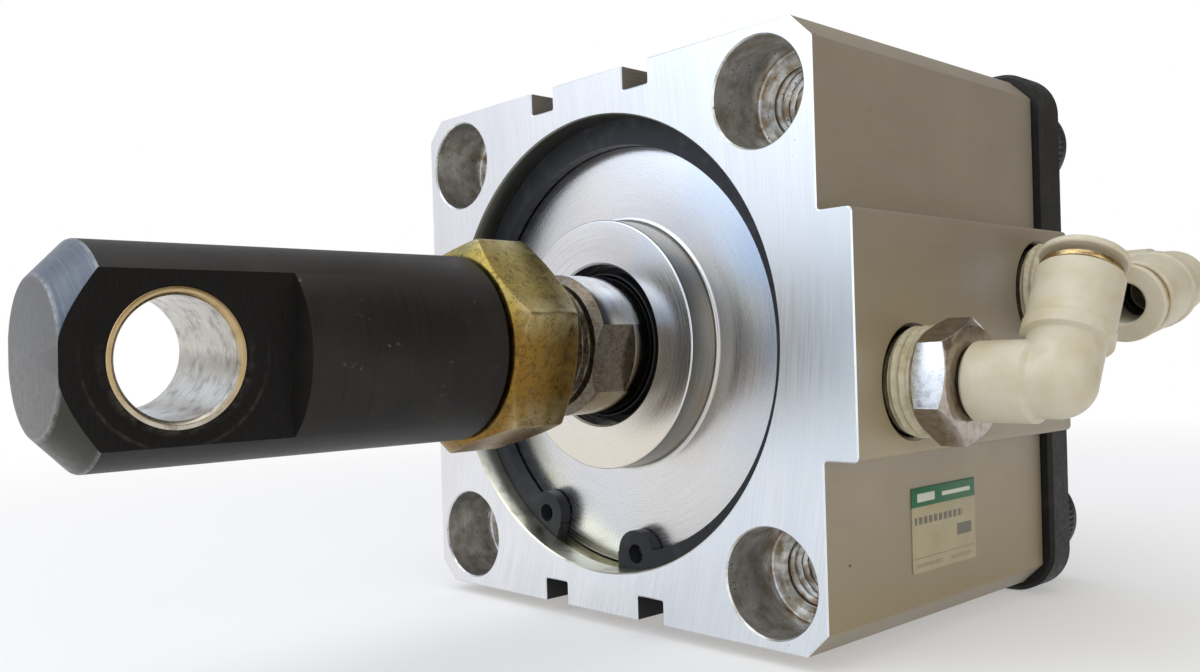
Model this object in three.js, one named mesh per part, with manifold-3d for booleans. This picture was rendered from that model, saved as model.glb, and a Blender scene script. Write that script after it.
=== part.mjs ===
// Compact double-acting pneumatic cylinder with a rod eye, two push-in elbow
// fittings and a rear mounting plate.
//
// Frame: millimetres, +Z up. The rod axis is the Y axis and the rod points
// towards -Y. The origin is the centre of the rear plate's back face. The
// square body's sides face +X (ports), -X, +Z and -Z.
//
// Inside this file every Y value is counted from the body's machined front
// face (y = 0 there, + towards the rear); the root group shifts the model so
// that the origin comes to the plate's back face.
import * as THREE from 'three';
import { mergeVertices } from 'three/addons/utils/BufferGeometryUtils.js';
import Module from 'manifold-3d';

const wasm = await Module();
wasm.setup();

// ---------------------------------------------------------------- dimensions
// body: square extruded block, open at the front, closed at the rear
const BODY_HALF = 49;            // 98 mm square
const BODY_LEN = 72;
const CORNER_CHAMFER = 4;
const BOSS_X = 55;               // port boss face, 6 mm proud of the side
const BOSS_HALF = 18.8;          // port boss half height
const GROOVE_C = 12.25;          // sensor groove centres, +-X
const GROOVE_W = 6.1;
const GROOVE_D = 4.3;
const HOLE_PITCH = 38.5;         // corner holes at +-38.5 (77 mm square)
const CBORE_R = 8.75;            // front counterbore
const CBORE_DEPTH = 12;
const THREAD_R = 6.0;            // M12 thread, major radius
const THROUGH_R = 5.15;
const FRONT_THREAD_END = 34;
const FRONT_DRILL_END = 46;      // a web parts the front thread from the plate screw's
const REAR_THREAD_START = 50;
const MOUTH_R = 41.5;            // cover seat
const MOUTH_DEPTH = 12.5;
const RING_GROOVE_R = 43.3;
const RING_GROOVE = [4.85, 7.75];
const BORE_R = 40;               // 80 mm bore
const BORE_END = 64;             // inner face of the end wall
// ports on the +X boss: [y, z]
const PORT_FRONT = [16, -7.5];
const PORT_REAR = [60, 7.2];
const PORT_R = 8.6;              // Rc 3/8 thread hole
const PORT_CHAMFER = 0.6;
const PORT_DEPTH_X = 45;
const DRILL_R = 3;
const DRILL_FRONT_Y = 18.6;
// rod cover (gland)
const COVER_FACE = 7.8;
const COVER_R = 41.15;
const SPIGOT_R = 39.6;
const NOSE_R = 22.8;
const NOSE_Y = 1.25;
const HUB_R = 22;
const HUB_END = 24;
const GLAND_R = 14.75;
// rod
const ROD_R = 12.5;              // 25 mm rod
const ROD_THREAD_R = 10.85;      // M22 x 1.5
const ROD_TIP = -56;
const ROD_SHOULDER = -10.2;      // where the thread meets the rod
const FLAT_HALF = 11;            // 22 mm across flats
const FLAT_TO = -1.8;
const FLAT_TURN = 13.1;          // degrees about the rod axis
const ROD_REAR = 46.7;           // rear shoulder, against the piston (stroke 20)
// lock nut, M22 thin nut
const NUT_AF = 31.6;
const NUT_FRONT = -31.3;
const NUT_REAR = -18.2;
const NUT_TURN = 15.4;
// rod eye
const EYE_R = 15;
const EYE_TIP = -96.1;
const EYE_CHAMFER = 4.7;
const EYE_BACK = -31.6;
const EYE_HOLE_Y = -81.5;
const EYE_SHOULDER = -65.5;
const TONGUE_HALF = 10;          // 20 mm thick tongue
const EYE_TURN = 3.5;            // degrees about the rod axis
const PIN_R = 8.0;               // 16 mm pin
const BUSH_R = 9.0;
// rear plate
const PLATE_HALF = 51;
const PLATE_FRONT = 72.1;
const PLATE_BACK = 80;
const PLATE_CORNER = 8.5;
const SPOT_R = 9.9;              // spot face under each screw head
const SPOT_DEPTH = 0.3;
const HEAD_R = 9;                // M12 socket head screw
const HEAD_H = 11.9;
// elbow fitting, 6 mm tube, in its own frame: s along +X from the rod axis
const HEX_AF = 17;
const HEX_FROM = 59.2;
const HEX_TO = 64.8;
const STUB_FROM = 65.1;
const STUB_R = 6.05;
const ELBOW_X = 77;
const CORE_R = 5.35;
const LEG_R = 6.1;
const LEG_TOP = 17.3;
const FLANGE_R = 6.15;
const FLANGE = [19.5, 20.6];
const TUBE_R = 3.15;
const LEG_ANGLE_FRONT = 30;      // from +Z towards +Y
const LEG_ANGLE_REAR = -100;

const rad = (d) => (d * Math.PI) / 180;

// ------------------------------------------------------------------- helpers
// Position-only, welded, no zero-area triangles, facing out.
function clean(geometry) {
  const g = geometry.clone();
  for (const name of Object.keys(g.attributes)) if (name !== 'position') g.deleteAttribute(name);
  const m = mergeVertices(g, 1e-4);
  const p = m.attributes.position.array;
  const src = m.index ? m.index.array : Uint32Array.from({ length: p.length / 3 }, (_, i) => i);
  const idx = [];
  let vol = 0;
  for (let i = 0; i < src.length; i += 3) {
    const [a, b, c] = [src[i], src[i + 1], src[i + 2]];
    if (a === b || b === c || a === c) continue;
    idx.push(a, b, c);
    const [ax, ay, az, bx, by, bz, cx, cy, cz] = [p[3 * a], p[3 * a + 1], p[3 * a + 2], p[3 * b], p[3 * b + 1], p[3 * b + 2], p[3 * c], p[3 * c + 1], p[3 * c + 2]];
    vol += ax * (by * cz - bz * cy) - ay * (bx * cz - bz * cx) + az * (bx * cy - by * cx);
  }
  if (vol < 0) for (let i = 0; i < idx.length; i += 3) [idx[i], idx[i + 1]] = [idx[i + 1], idx[i]];
  const out = new THREE.BufferGeometry();
  out.setAttribute('position', new THREE.BufferAttribute(Float32Array.from(p), 3));
  out.setIndex(idx);
  return out;
}
function toSolid(geometry) {
  const g = clean(geometry);
  return new wasm.Manifold(new wasm.Mesh({
    numProp: 3,
    vertProperties: Float32Array.from(g.attributes.position.array),
    triVerts: Uint32Array.from(g.index.array),
  }));
}
function toGeometry(solid) {
  const m = solid.getMesh();
  const g = new THREE.BufferGeometry();
  g.setAttribute('position', new THREE.BufferAttribute(Float32Array.from(m.vertProperties), 3));
  g.setIndex(Array.from(m.triVerts));
  return g;
}
const cut = (a, ...bs) => toGeometry(bs.reduce((s, b) => s.subtract(toSolid(b)), toSolid(a)));
const join = (a, ...bs) => toGeometry(bs.reduce((s, b) => s.add(toSolid(b)), toSolid(a)));
const meet = (a, b) => toGeometry(toSolid(a).intersect(toSolid(b)));

// Turned piece about the Y axis from a closed profile of [radius, y] points.
function turned(profile, seg = 48) {
  const pts = profile.map(([r, y]) => new THREE.Vector2(r, y));
  const onAxis = profile[0][0] === 0 && profile[profile.length - 1][0] === 0;
  if (!onAxis) pts.push(pts[0].clone());
  return clean(new THREE.LatheGeometry(pts, seg));
}
// The same about the X axis: profile of [radius, x].
const turnedX = (profile, seg = 24) => clean(turned(profile, seg).rotateZ(-Math.PI / 2));
// The same about the Z axis: profile of [radius, z].
const turnedZ = (profile, seg = 24) => clean(turned(profile, seg).rotateX(Math.PI / 2));
// Plain rod between two stations along an axis.
const bar = (r, a, b, seg = 32) => turned([[0, a], [r, a], [r, b], [0, b]], seg);
const barX = (r, a, b, y, z, seg = 24) => turnedX([[0, a], [r, a], [r, b], [0, b]], seg).translate(0, y, z);
// Outline in the X-Z plane pushed along Y from y0 to y1.
function slab(shape, y0, y1, curveSegments = 12) {
  const g = new THREE.ExtrudeGeometry(shape, { depth: y1 - y0, bevelEnabled: false, curveSegments });
  g.rotateX(Math.PI / 2);
  g.translate(0, y1, 0);
  return clean(g);
}
const poly = (pts) => new THREE.Shape(pts.map(([x, z]) => new THREE.Vector2(x, z)));
const block = (x0, x1, y0, y1, z0, z1) =>
  clean(new THREE.BoxGeometry(x1 - x0, y1 - y0, z1 - z0).translate((x0 + x1) / 2, (y0 + y1) / 2, (z0 + z1) / 2));
function hexShape(af, turnDeg, round = 0) {
  const R = af / Math.sqrt(3);
  const pts = [];
  for (let k = 0; k < 6; k++) {
    const a = rad(turnDeg + 60 * k);
    if (!round) { pts.push([R * Math.cos(a), R * Math.sin(a)]); continue; }
    for (const s of [-1, 1]) {          // each corner slightly broken
      const b = rad(turnDeg + 60 * k + s * 60);
      const [cx, cz] = [R * Math.cos(a), R * Math.sin(a)];
      const [nx, nz] = [R * Math.cos(b), R * Math.sin(b)];
      const t = round / R;
      pts.push([cx + (nx - cx) * t, cz + (nz - cz) * t]);
    }
  }
  return poly(pts);
}
function ringSection(rc, yc, r, n = 10) {
  return Array.from({ length: n }, (_, i) => [rc + r * Math.cos((2 * Math.PI * i) / n), yc + r * Math.sin((2 * Math.PI * i) / n)]);
}

// ----------------------------------------------------------------- materials
const mat = (color, roughness, metalness) => new THREE.MeshStandardMaterial({ color, roughness, metalness });
const anodised = mat(0x9c968a, 0.5, 0.8);
const machined = mat(0xc9cbcf, 0.3, 1.0);
const chrome = mat(0xd4d6da, 0.12, 1.0);
const steelDark = mat(0x2c2b2a, 0.45, 0.8);
const blackOxide = mat(0x23211f, 0.45, 0.7);
const zincYellow = mat(0xa58f4d, 0.35, 0.9);
const bushSteel = mat(0xb9b1a2, 0.3, 1.0);
const blackPaint = mat(0x1f201f, 0.5, 0.2);
const blackScrew = mat(0x1b1b1c, 0.45, 0.6);
const rubber = mat(0x17171a, 0.7, 0.0);
const bronze = mat(0x9a7a45, 0.4, 1.0);
const resin = mat(0xd9d6c4, 0.45, 0.0);
const nickel = mat(0xb8b3ab, 0.25, 1.0);
const sealant = mat(0xd8cfa2, 0.7, 0.0);
const steelPlain = mat(0x9a9a9c, 0.4, 1.0);
const paper = mat(0xdedccb, 0.6, 0.0);

const root = new THREE.Group();
root.name = 'pneumatic_cylinder';
root.position.y = -PLATE_BACK;
function add(parent, name, geometry, material) {
  const g = clean(geometry);
  g.computeVertexNormals();
  const mesh = new THREE.Mesh(g, material);
  mesh.name = name;
  parent.add(mesh);
  return mesh;
}

// ------------------------------------------------------------- cylinder body
{
  const h = BODY_HALF, c = CORNER_CHAMFER, gw = GROOVE_W / 2, b = BOSS_HALF, q = 0.8;
  const gz = h - GROOVE_D;
  const outline = poly([
    [-h + c, -h],
    [-GROOVE_C - gw, -h], [-GROOVE_C - gw, -gz], [-GROOVE_C + gw, -gz], [-GROOVE_C + gw, -h],
    [GROOVE_C - gw, -h], [GROOVE_C - gw, -gz], [GROOVE_C + gw, -gz], [GROOVE_C + gw, -h],
    [h - c, -h], [h, -h + c],
    [h, -b], [BOSS_X - q, -b], [BOSS_X, -b + q], [BOSS_X, b - q], [BOSS_X - q, b], [h, b],
    [h, h - c], [h - c, h],
    [GROOVE_C + gw, h], [GROOVE_C + gw, gz], [GROOVE_C - gw, gz], [GROOVE_C - gw, h],
    [-GROOVE_C + gw, h], [-GROOVE_C + gw, gz], [-GROOVE_C - gw, gz], [-GROOVE_C - gw, h],
    [-h + c, h], [-h, h - c], [-h, -h + c],
  ]);
  const bore = turned([
    [0, -1], [MOUTH_R + 1.3, -1], [MOUTH_R, 0.3],
    [MOUTH_R, RING_GROOVE[0]], [RING_GROOVE_R, RING_GROOVE[0]], [RING_GROOVE_R, RING_GROOVE[1]], [MOUTH_R, RING_GROOVE[1]],
    [MOUTH_R, MOUTH_DEPTH], [BORE_R, MOUTH_DEPTH], [BORE_R, BORE_END], [0, BORE_END],
  ], 44);
  const tools = [bore];
  for (const sx of [-1, 1]) for (const sz of [-1, 1]) {
    tools.push(turned([
      [0, -1], [CBORE_R + 1.3, -1], [CBORE_R, 0.3], [CBORE_R, CBORE_DEPTH],
      [THREAD_R, CBORE_DEPTH], [THREAD_R, FRONT_THREAD_END], [THROUGH_R, FRONT_THREAD_END],
      [THROUGH_R, FRONT_DRILL_END], [0, FRONT_DRILL_END],
    ], 18).translate(sx * HOLE_PITCH, 0, sz * HOLE_PITCH));
    tools.push(turned([
      [0, REAR_THREAD_START], [THREAD_R + 0.1, REAR_THREAD_START], [THREAD_R + 0.1, BODY_LEN + 1], [0, BODY_LEN + 1],
    ], 18).translate(sx * HOLE_PITCH, 0, sz * HOLE_PITCH));
  }
  for (const [[y, z], dy] of [[PORT_FRONT, DRILL_FRONT_Y], [PORT_REAR, PORT_REAR[0]]]) {
    // port with its mouth chamfer
    tools.push(turnedX([[0, PORT_DEPTH_X], [PORT_R, PORT_DEPTH_X], [PORT_R, BOSS_X - PORT_CHAMFER], [PORT_R + PORT_CHAMFER + 1, BOSS_X + 1], [0, BOSS_X + 1]], 20).translate(0, y, z));
    tools.push(barX(DRILL_R, 34, PORT_DEPTH_X + 1, dy, z, 10));
  }
  add(root, 'cylinder_body', cut(slab(outline, 0, BODY_LEN), ...tools), anodised);
}

// ------------------------------------------------ rod cover, seals and gland
add(root, 'rod_cover', turned([
  [GLAND_R, NOSE_Y], [NOSE_R - 0.4, NOSE_Y], [NOSE_R, NOSE_Y + 0.4], [NOSE_R, COVER_FACE],
  [COVER_R, COVER_FACE], [COVER_R, MOUTH_DEPTH - 0.3], [SPIGOT_R, MOUTH_DEPTH - 0.3],
  [SPIGOT_R, 12.7], [37.6, 12.7], [37.6, 14.9], [SPIGOT_R, 14.9], [SPIGOT_R, 15.5],
  [HUB_R, 15.5], [HUB_R, HUB_END], [14.4, HUB_END], [14.4, 9.2], [13.1, 9.2], [13.1, 8.2], [GLAND_R, 8.2],
], 36), machined);
add(root, 'rod_cover_o_ring', turned(ringSection(38.72, 13.8, 0.85, 6), 32), rubber);

// Internal retaining ring: widest opposite its gap, a plier hole in each lug.
{
  const lugR = 38.75, lugAngles = [-121.4, -83.6], y0 = 5.0, y1 = 7.5;
  const disc = bar(42.75, y0, y1, 44);
  const gapDir = rad(-102.5);
  const inner = bar(37.6, y0 - 1, y1 + 1, 44).translate(0.9 * Math.cos(gapDir), 0, 0.9 * Math.sin(gapDir));
  const a = rad(-90.3), b = rad(-114.7);
  const wedge = slab(poly([[0, 0], [60 * Math.cos(b), 60 * Math.sin(b)], [60 * Math.cos(a), 60 * Math.sin(a)]]), y0 - 1, y1 + 1);
  let ring = cut(disc, inner);
  const lugs = lugAngles.map((d) => bar(4.3, y0, y1, 16).translate(lugR * Math.cos(rad(d)), 0, lugR * Math.sin(rad(d))));
  ring = join(ring, ...lugs);
  ring = meet(ring, disc);
  const holes = lugAngles.map((d) => bar(1.75, y0 - 1, y1 + 1, 10).translate(lugR * Math.cos(rad(d)), 0, lugR * Math.sin(rad(d))));
  add(root, 'retaining_ring', cut(ring, wedge, ...holes), steelDark);
}
add(root, 'rod_bush', turned([[ROD_R + 0.12, 9.5], [14.2, 9.5], [14.2, HUB_END - 0.2], [ROD_R + 0.12, HUB_END - 0.2]], 32), bronze);
add(root, 'rod_seal', turned([[12.75, 2.6], [13.3, 1.9], [14.5, 1.9], [14.5, 7.9], [12.75, 7.9]], 28), rubber);
add(root, 'front_cushion', turned([[15.6, HUB_END + 0.2], [21.4, HUB_END + 0.2], [21.0, 26.0], [16.0, 26.0]], 20), rubber);
add(root, 'rear_cushion', turned([[15.0, 62.3], [21.0, 62.3], [21.4, BORE_END - 0.15], [14.6, BORE_END - 0.15]], 20), rubber);

// ------------------------------------------------------- piston and its seals
add(root, 'piston', turned([
  [8.3, 47], [38.9, 47], [39.6, 47.7], [39.6, 48.2], [38.2, 48.2], [38.2, 51.2], [39.6, 51.2],
  [39.6, 52.4], [34.6, 52.4], [34.6, 56.4], [39.6, 56.4], [39.6, 57.4], [36, 57.4], [36, 61.9],
  [13.4, 61.9], [13.4, 55], [8.3, 55],
], 32), machined);
add(root, 'wear_ring', turned([[38.45, 48.4], [39.75, 48.4], [39.75, 51.0], [38.45, 51.0]], 32), resin);
add(root, 'piston_seal', turned([[34.9, 52.7], [36.5, 52.7], [39.8, 52.9], [39.2, 54.4], [39.8, 55.9], [36.5, 56.1], [34.9, 56.1]], 32), rubber);

// -------------------------------------------------- rod, its screw and washer
{
  const body = turned([
    [0, ROD_TIP], [ROD_THREAD_R - 1.2, ROD_TIP], [ROD_THREAD_R, ROD_TIP + 1.2], [ROD_THREAD_R, ROD_SHOULDER],
    [11.2, ROD_SHOULDER], [ROD_R, ROD_SHOULDER + 1.3], [ROD_R, ROD_REAR], [8.0, ROD_REAR], [8.0, 54.8],
    [5.0, 54.8], [5.0, 33], [0, 31],
  ], 32);
  const side = (s) => block(s > 0 ? FLAT_HALF : -30, s > 0 ? 30 : -FLAT_HALF, ROD_SHOULDER - 0.05, FLAT_TO, -20, 20);
  const turn = new THREE.Group();
  turn.rotation.y = rad(FLAT_TURN);
  root.add(turn);
  add(turn, 'piston_rod', cut(body, side(1), side(-1)), chrome);
}
add(root, 'piston_washer', turned([[5.6, 55.3], [12.6, 55.3], [12.6, 56.8], [5.6, 56.8]], 16), steelPlain);
add(root, 'piston_screw', cut(
  turned([[0, 36], [4.6, 36], [4.6, 57.1], [8, 57.1], [8, 61.6], [0, 61.6]], 16),
  slab(hexShape(6, 0), 59, 63),
), blackScrew);

// ------------------------------------------------------- lock nut and rod eye
{
  const R = NUT_AF / Math.sqrt(3), flat = NUT_AF / 2 - 0.5;
  const dy = (R - flat) * Math.tan(rad(30));
  const barrel = turned([[0, NUT_FRONT], [flat, NUT_FRONT], [R, NUT_FRONT + dy], [R, NUT_REAR - dy], [flat, NUT_REAR], [0, NUT_REAR]], 36);
  const hex = slab(hexShape(NUT_AF, NUT_TURN, 0.7), NUT_FRONT, NUT_REAR);
  const bore = bar(ROD_THREAD_R + 0.25, NUT_FRONT - 1, NUT_REAR + 1, 28);
  add(root, 'lock_nut', cut(meet(hex, barrel), bore), zincYellow);
}
{
  const turn = new THREE.Group();
  turn.rotation.y = rad(EYE_TURN);
  root.add(turn);
  const blank = turned([
    [0, EYE_TIP], [EYE_R - EYE_CHAMFER, EYE_TIP], [EYE_R, EYE_TIP + EYE_CHAMFER], [EYE_R, EYE_BACK - 0.5], [EYE_R - 0.5, EYE_BACK],
    [ROD_THREAD_R + 0.25, EYE_BACK], [ROD_THREAD_R + 0.25, -57], [0, -60],
  ], 36);
  const cheek = (s) => block(s > 0 ? TONGUE_HALF : -30, s > 0 ? 30 : -TONGUE_HALF, EYE_TIP - 5, EYE_SHOULDER, -30, 30);
  const hole = barX(BUSH_R + 0.2, -30, 30, EYE_HOLE_Y, 0, 28);
  add(turn, 'rod_eye', cut(blank, cheek(1), cheek(-1), hole), blackOxide);
  add(turn, 'rod_eye_bush', turnedX([
    [PIN_R + 0.35, -9.9], [BUSH_R, -9.9], [BUSH_R, 9.9], [PIN_R + 0.35, 9.9], [PIN_R, 9.5], [PIN_R, -9.5],
  ], 28).translate(0, EYE_HOLE_Y, 0), bushSteel);
}

// ------------------------------------------------ rear plate and its screws
{
  const h = PLATE_HALF, r = PLATE_CORNER;
  const s = new THREE.Shape();
  s.moveTo(-h + r, -h);
  s.lineTo(h - r, -h); s.absarc(h - r, -h + r, r, -Math.PI / 2, 0, false);
  s.lineTo(h, h - r); s.absarc(h - r, h - r, r, 0, Math.PI / 2, false);
  s.lineTo(-h + r, h); s.absarc(-h + r, h - r, r, Math.PI / 2, Math.PI, false);
  s.lineTo(-h, -h + r); s.absarc(-h + r, -h + r, r, Math.PI, 1.5 * Math.PI, false);
  const holes = [];
  for (const sx of [-1, 1]) for (const sz of [-1, 1]) {
    holes.push(bar(6.6, PLATE_FRONT - 1, PLATE_BACK + 1, 16).translate(sx * HOLE_PITCH, 0, sz * HOLE_PITCH));
    holes.push(bar(SPOT_R, PLATE_BACK - SPOT_DEPTH, PLATE_BACK + 1, 20).translate(sx * HOLE_PITCH, 0, sz * HOLE_PITCH));
  }
  add(root, 'rear_plate', cut(slab(s, PLATE_FRONT, PLATE_BACK, 6), ...holes), blackPaint);
  let n = 1;
  for (const [sx, sz] of [[1, 1], [1, -1], [-1, -1], [-1, 1]]) {
    const y0 = PLATE_BACK - SPOT_DEPTH + 0.1, y1 = y0 + HEAD_H;
    const screw = turned([[0, 53], [5, 53], [5.85, 53.85], [5.85, y0], [HEAD_R, y0], [HEAD_R, y1 - 0.9], [HEAD_R - 0.9, y1], [0, y1]], 18);
    add(root, `rear_plate_screw_${n}`, cut(screw, slab(hexShape(10, 0), y1 - 6, y1 + 1)).translate(sx * HOLE_PITCH, 0, sz * HOLE_PITCH), blackScrew);
    n += 1;
  }
}

// ------------------------------------------------------------------- label
add(root, 'label_plate', block(BODY_HALF + 0.02, BODY_HALF + 0.22, 24.2, 45.3, -39.6, -25.5), paper);

// ------------------------------------------------------ push-in elbow fitting
// The threaded hex body stays in the port. The elbow turns on its spigot, and
// the release sleeve slides in the elbow's tube end.
function elbowFitting(prefix, [py, pz], legAngle, hexTurn) {
  const still = new THREE.Group();
  still.position.set(0, py, pz);
  root.add(still);
  const R = HEX_AF / Math.sqrt(3), flat = HEX_AF / 2 - 0.15, dx = (R - flat) * Math.tan(rad(30));
  const hexBar = (() => {
    const g = new THREE.ExtrudeGeometry(hexShape(HEX_AF, hexTurn), { depth: HEX_TO - HEX_FROM, bevelEnabled: false });
    // shape (u, v) and depth w -> (y, z) and x
    g.applyMatrix4(new THREE.Matrix4().set(0, 0, 1, HEX_FROM, 1, 0, 0, 0, 0, 1, 0, 0, 0, 0, 0, 1));
    return clean(g);
  })();
  const hexBarrel = turnedX([[0, HEX_FROM], [flat, HEX_FROM], [R, HEX_FROM + dx], [R, HEX_TO - dx], [flat, HEX_TO], [0, HEX_TO]], 24);
  const hexPart = cut(meet(hexBar, hexBarrel), barX(7, HEX_FROM - 1, HEX_TO + 1, 0, 0, 16));
  const stemCore = turnedX([
    [2.6, 46], [7.6, 46], [8.2, 47], [8.25, HEX_FROM + 0.5], [7.6, HEX_FROM + 0.5], [7.6, HEX_TO - 0.2], [4.0, HEX_TO - 0.2],
    [4.0, 66.8], [3.1, 66.8], [3.1, 68.8], [4.0, 68.8], [4.0, 70.6], [4.45, 71.0], [4.45, 71.6], [3.9, 72.2], [2.6, 72.2],
  ], 16);
  add(still, `${prefix}_fitting_body`, join(stemCore, hexPart), nickel);
  add(still, `${prefix}_thread_sealant`, turnedX([[8.4, 55.3], [8.75, 55.3], [8.75, 58.9], [8.4, 58.9]], 18), sealant);
  add(still, `${prefix}_swivel_o_ring`, turnedX([[3.25, 67.1], [4.15, 67.1], [4.15, 68.5], [3.25, 68.5]], 16), rubber);

  const swivel = new THREE.Group();
  swivel.position.set(ELBOW_X, py, pz);
  swivel.rotation.x = -rad(legAngle);
  root.add(swivel);
  const dx0 = -ELBOW_X;
  // outside: stub along X, dome at the corner, leg along Z with a base band
  const stub = turnedX([
    [0, STUB_FROM + dx0], [STUB_R - 0.7, STUB_FROM + dx0], [STUB_R, STUB_FROM + dx0 + 0.7], [STUB_R, -2.9], [CORE_R, -2.1], [CORE_R, 0], [0, 0],
  ], 18);
  const dome = new THREE.SphereGeometry(CORE_R, 18, 9);
  const leg = turnedZ([
    [0, 0], [CORE_R, 0], [CORE_R, 6.0], [LEG_R + 0.2, 6.5], [LEG_R + 0.2, 8.3], [LEG_R, 8.6], [LEG_R, LEG_TOP], [0, LEG_TOP],
  ], 18);
  const inside = [
    turnedX([[0, STUB_FROM + dx0 - 1], [4.35, STUB_FROM + dx0 - 1], [4.35, 70.3 + dx0], [4.85, 70.6 + dx0], [4.85, 72.6 + dx0], [2.5, 72.6 + dx0], [2.5, 0], [0, 0]], 16),
    new THREE.SphereGeometry(2.5, 12, 6),
    turnedZ([[0, 0], [2.5, 0], [2.5, 4.6], [TUBE_R, 4.6], [TUBE_R, 8.0], [4.95, 8.0], [4.95, LEG_TOP + 1], [0, LEG_TOP + 1]], 16),
  ];
  add(swivel, `${prefix}_elbow`, cut(join(stub, dome, leg), ...inside), resin);
  add(swivel, `${prefix}_tube_seal`, turnedZ([[3.25, 8.3], [4.75, 8.3], [4.75, 10.4], [3.25, 10.4]], 16), rubber);
  add(swivel, `${prefix}_collet`, turnedZ([[3.35, 10.9], [4.75, 10.7], [4.75, 11.7], [3.7, 11.9]], 16), steelPlain);
  add(swivel, `${prefix}_guide_ring`, turnedZ([[4.15, 13.2], [4.8, 13.2], [4.8, LEG_TOP + 0.15], [5.75, LEG_TOP + 0.15], [5.75, 18.3], [4.15, 18.3]], 18), nickel);
  add(swivel, `${prefix}_release_sleeve`, turnedZ([
    [TUBE_R, 13.4], [3.95, 13.4], [3.95, FLANGE[0]], [FLANGE_R - 0.3, FLANGE[0]], [FLANGE_R, FLANGE[0] + 0.3],
    [FLANGE_R, FLANGE[1] - 0.3], [FLANGE_R - 0.3, FLANGE[1]], [TUBE_R + 0.4, FLANGE[1]], [TUBE_R, FLANGE[1] - 0.4],
  ], 18), resin);
}
elbowFitting('front', PORT_FRONT, LEG_ANGLE_FRONT, 21.4);
elbowFitting('rear', PORT_REAR, LEG_ANGLE_REAR, 8);

export default root;
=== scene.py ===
import math

import bmesh
import bpy
import numpy as np
from mathutils import Matrix, Vector


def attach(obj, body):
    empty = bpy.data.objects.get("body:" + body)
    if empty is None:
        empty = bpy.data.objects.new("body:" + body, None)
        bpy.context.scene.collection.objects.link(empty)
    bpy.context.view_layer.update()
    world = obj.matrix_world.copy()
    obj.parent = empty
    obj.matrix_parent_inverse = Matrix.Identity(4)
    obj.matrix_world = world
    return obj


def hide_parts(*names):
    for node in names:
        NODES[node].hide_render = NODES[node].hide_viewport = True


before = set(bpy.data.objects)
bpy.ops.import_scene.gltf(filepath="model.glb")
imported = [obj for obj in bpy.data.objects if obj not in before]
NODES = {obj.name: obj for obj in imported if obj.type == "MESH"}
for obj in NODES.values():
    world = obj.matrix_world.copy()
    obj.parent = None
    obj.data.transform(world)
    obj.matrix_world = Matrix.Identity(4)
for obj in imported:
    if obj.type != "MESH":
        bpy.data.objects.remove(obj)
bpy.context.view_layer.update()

# Shapes are worked out in millimetres with y = 0 at the body's machined front
# face; SHIFT brings them to the CAD frame, whose origin is the plate's back.
SHIFT = -80.0
rad = math.radians


# ------------------------------------------------------------------ mesh tools
def to_object(name, verts, faces, smooth=32.0, doubles=1e-7, fix=True):
    """An object from points in mm (front-face frame) and faces."""
    v = np.asarray(verts, float).copy()
    v[:, 1] += SHIFT
    v *= 0.001
    me = bpy.data.meshes.new(name)
    me.from_pydata(v.tolist(), [], [list(map(int, f)) for f in faces])
    if fix:
        bm = bmesh.new()
        bm.from_mesh(me)
        bmesh.ops.remove_doubles(bm, verts=bm.verts, dist=doubles)
        bmesh.ops.dissolve_degenerate(bm, edges=bm.edges, dist=1e-8)
        bmesh.ops.recalc_face_normals(bm, faces=bm.faces)
        bm.to_mesh(me)
        bm.free()
    me.validate()
    ob = bpy.data.objects.new(name, me)
    bpy.context.scene.collection.objects.link(ob)
    shade(ob, smooth)
    return ob


def shade(ob, smooth=32.0):
    me = ob.data
    me.polygons.foreach_set("use_smooth", [True] * len(me.polygons))
    me.set_sharp_from_angle(angle=rad(smooth))
    me.update()


def baked(ob):
    """Applies the object's modifiers."""
    dg = bpy.context.evaluated_depsgraph_get()
    me = bpy.data.meshes.new_from_object(ob.evaluated_get(dg))
    ob.modifiers.clear()
    old = ob.data
    ob.data = me
    me.name = ob.name
    bpy.data.meshes.remove(old)
    return ob


def boolean(a, b, op="DIFFERENCE", self_cut=False):
    m = a.modifiers.new("b", "BOOLEAN")
    m.operation, m.object, m.solver = op, b, "EXACT"
    m.use_self = self_cut
    baked(a)
    bpy.data.objects.remove(b)
    return a


def bevel(ob, width, segments=2, angle=30.0, slot=-1):
    """A broken edge wherever two faces meet at more than the given angle."""
    m = ob.modifiers.new("v", "BEVEL")
    m.width, m.segments, m.limit_method, m.angle_limit = width * 0.001, segments, "ANGLE", rad(angle)
    m.use_clamp_overlap = True
    m.material = slot
    m.miter_outer = "MITER_ARC"
    baked(ob)
    return ob


def joined(name, *obs):
    """Several meshes as one object."""
    verts, faces, at = [], [], 0
    for o in obs:
        co = np.zeros(len(o.data.vertices) * 3)
        o.data.vertices.foreach_get("co", co)
        verts.append(co.reshape(-1, 3))
        faces += [[i + at for i in p.vertices] for p in o.data.polygons]
        at += len(o.data.vertices)
        bpy.data.objects.remove(o)
    me = bpy.data.meshes.new(name)
    me.from_pydata(np.vstack(verts).tolist(), [], faces)
    me.validate()
    ob = bpy.data.objects.new(name, me)
    bpy.context.scene.collection.objects.link(ob)
    shade(ob)
    return ob


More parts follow.
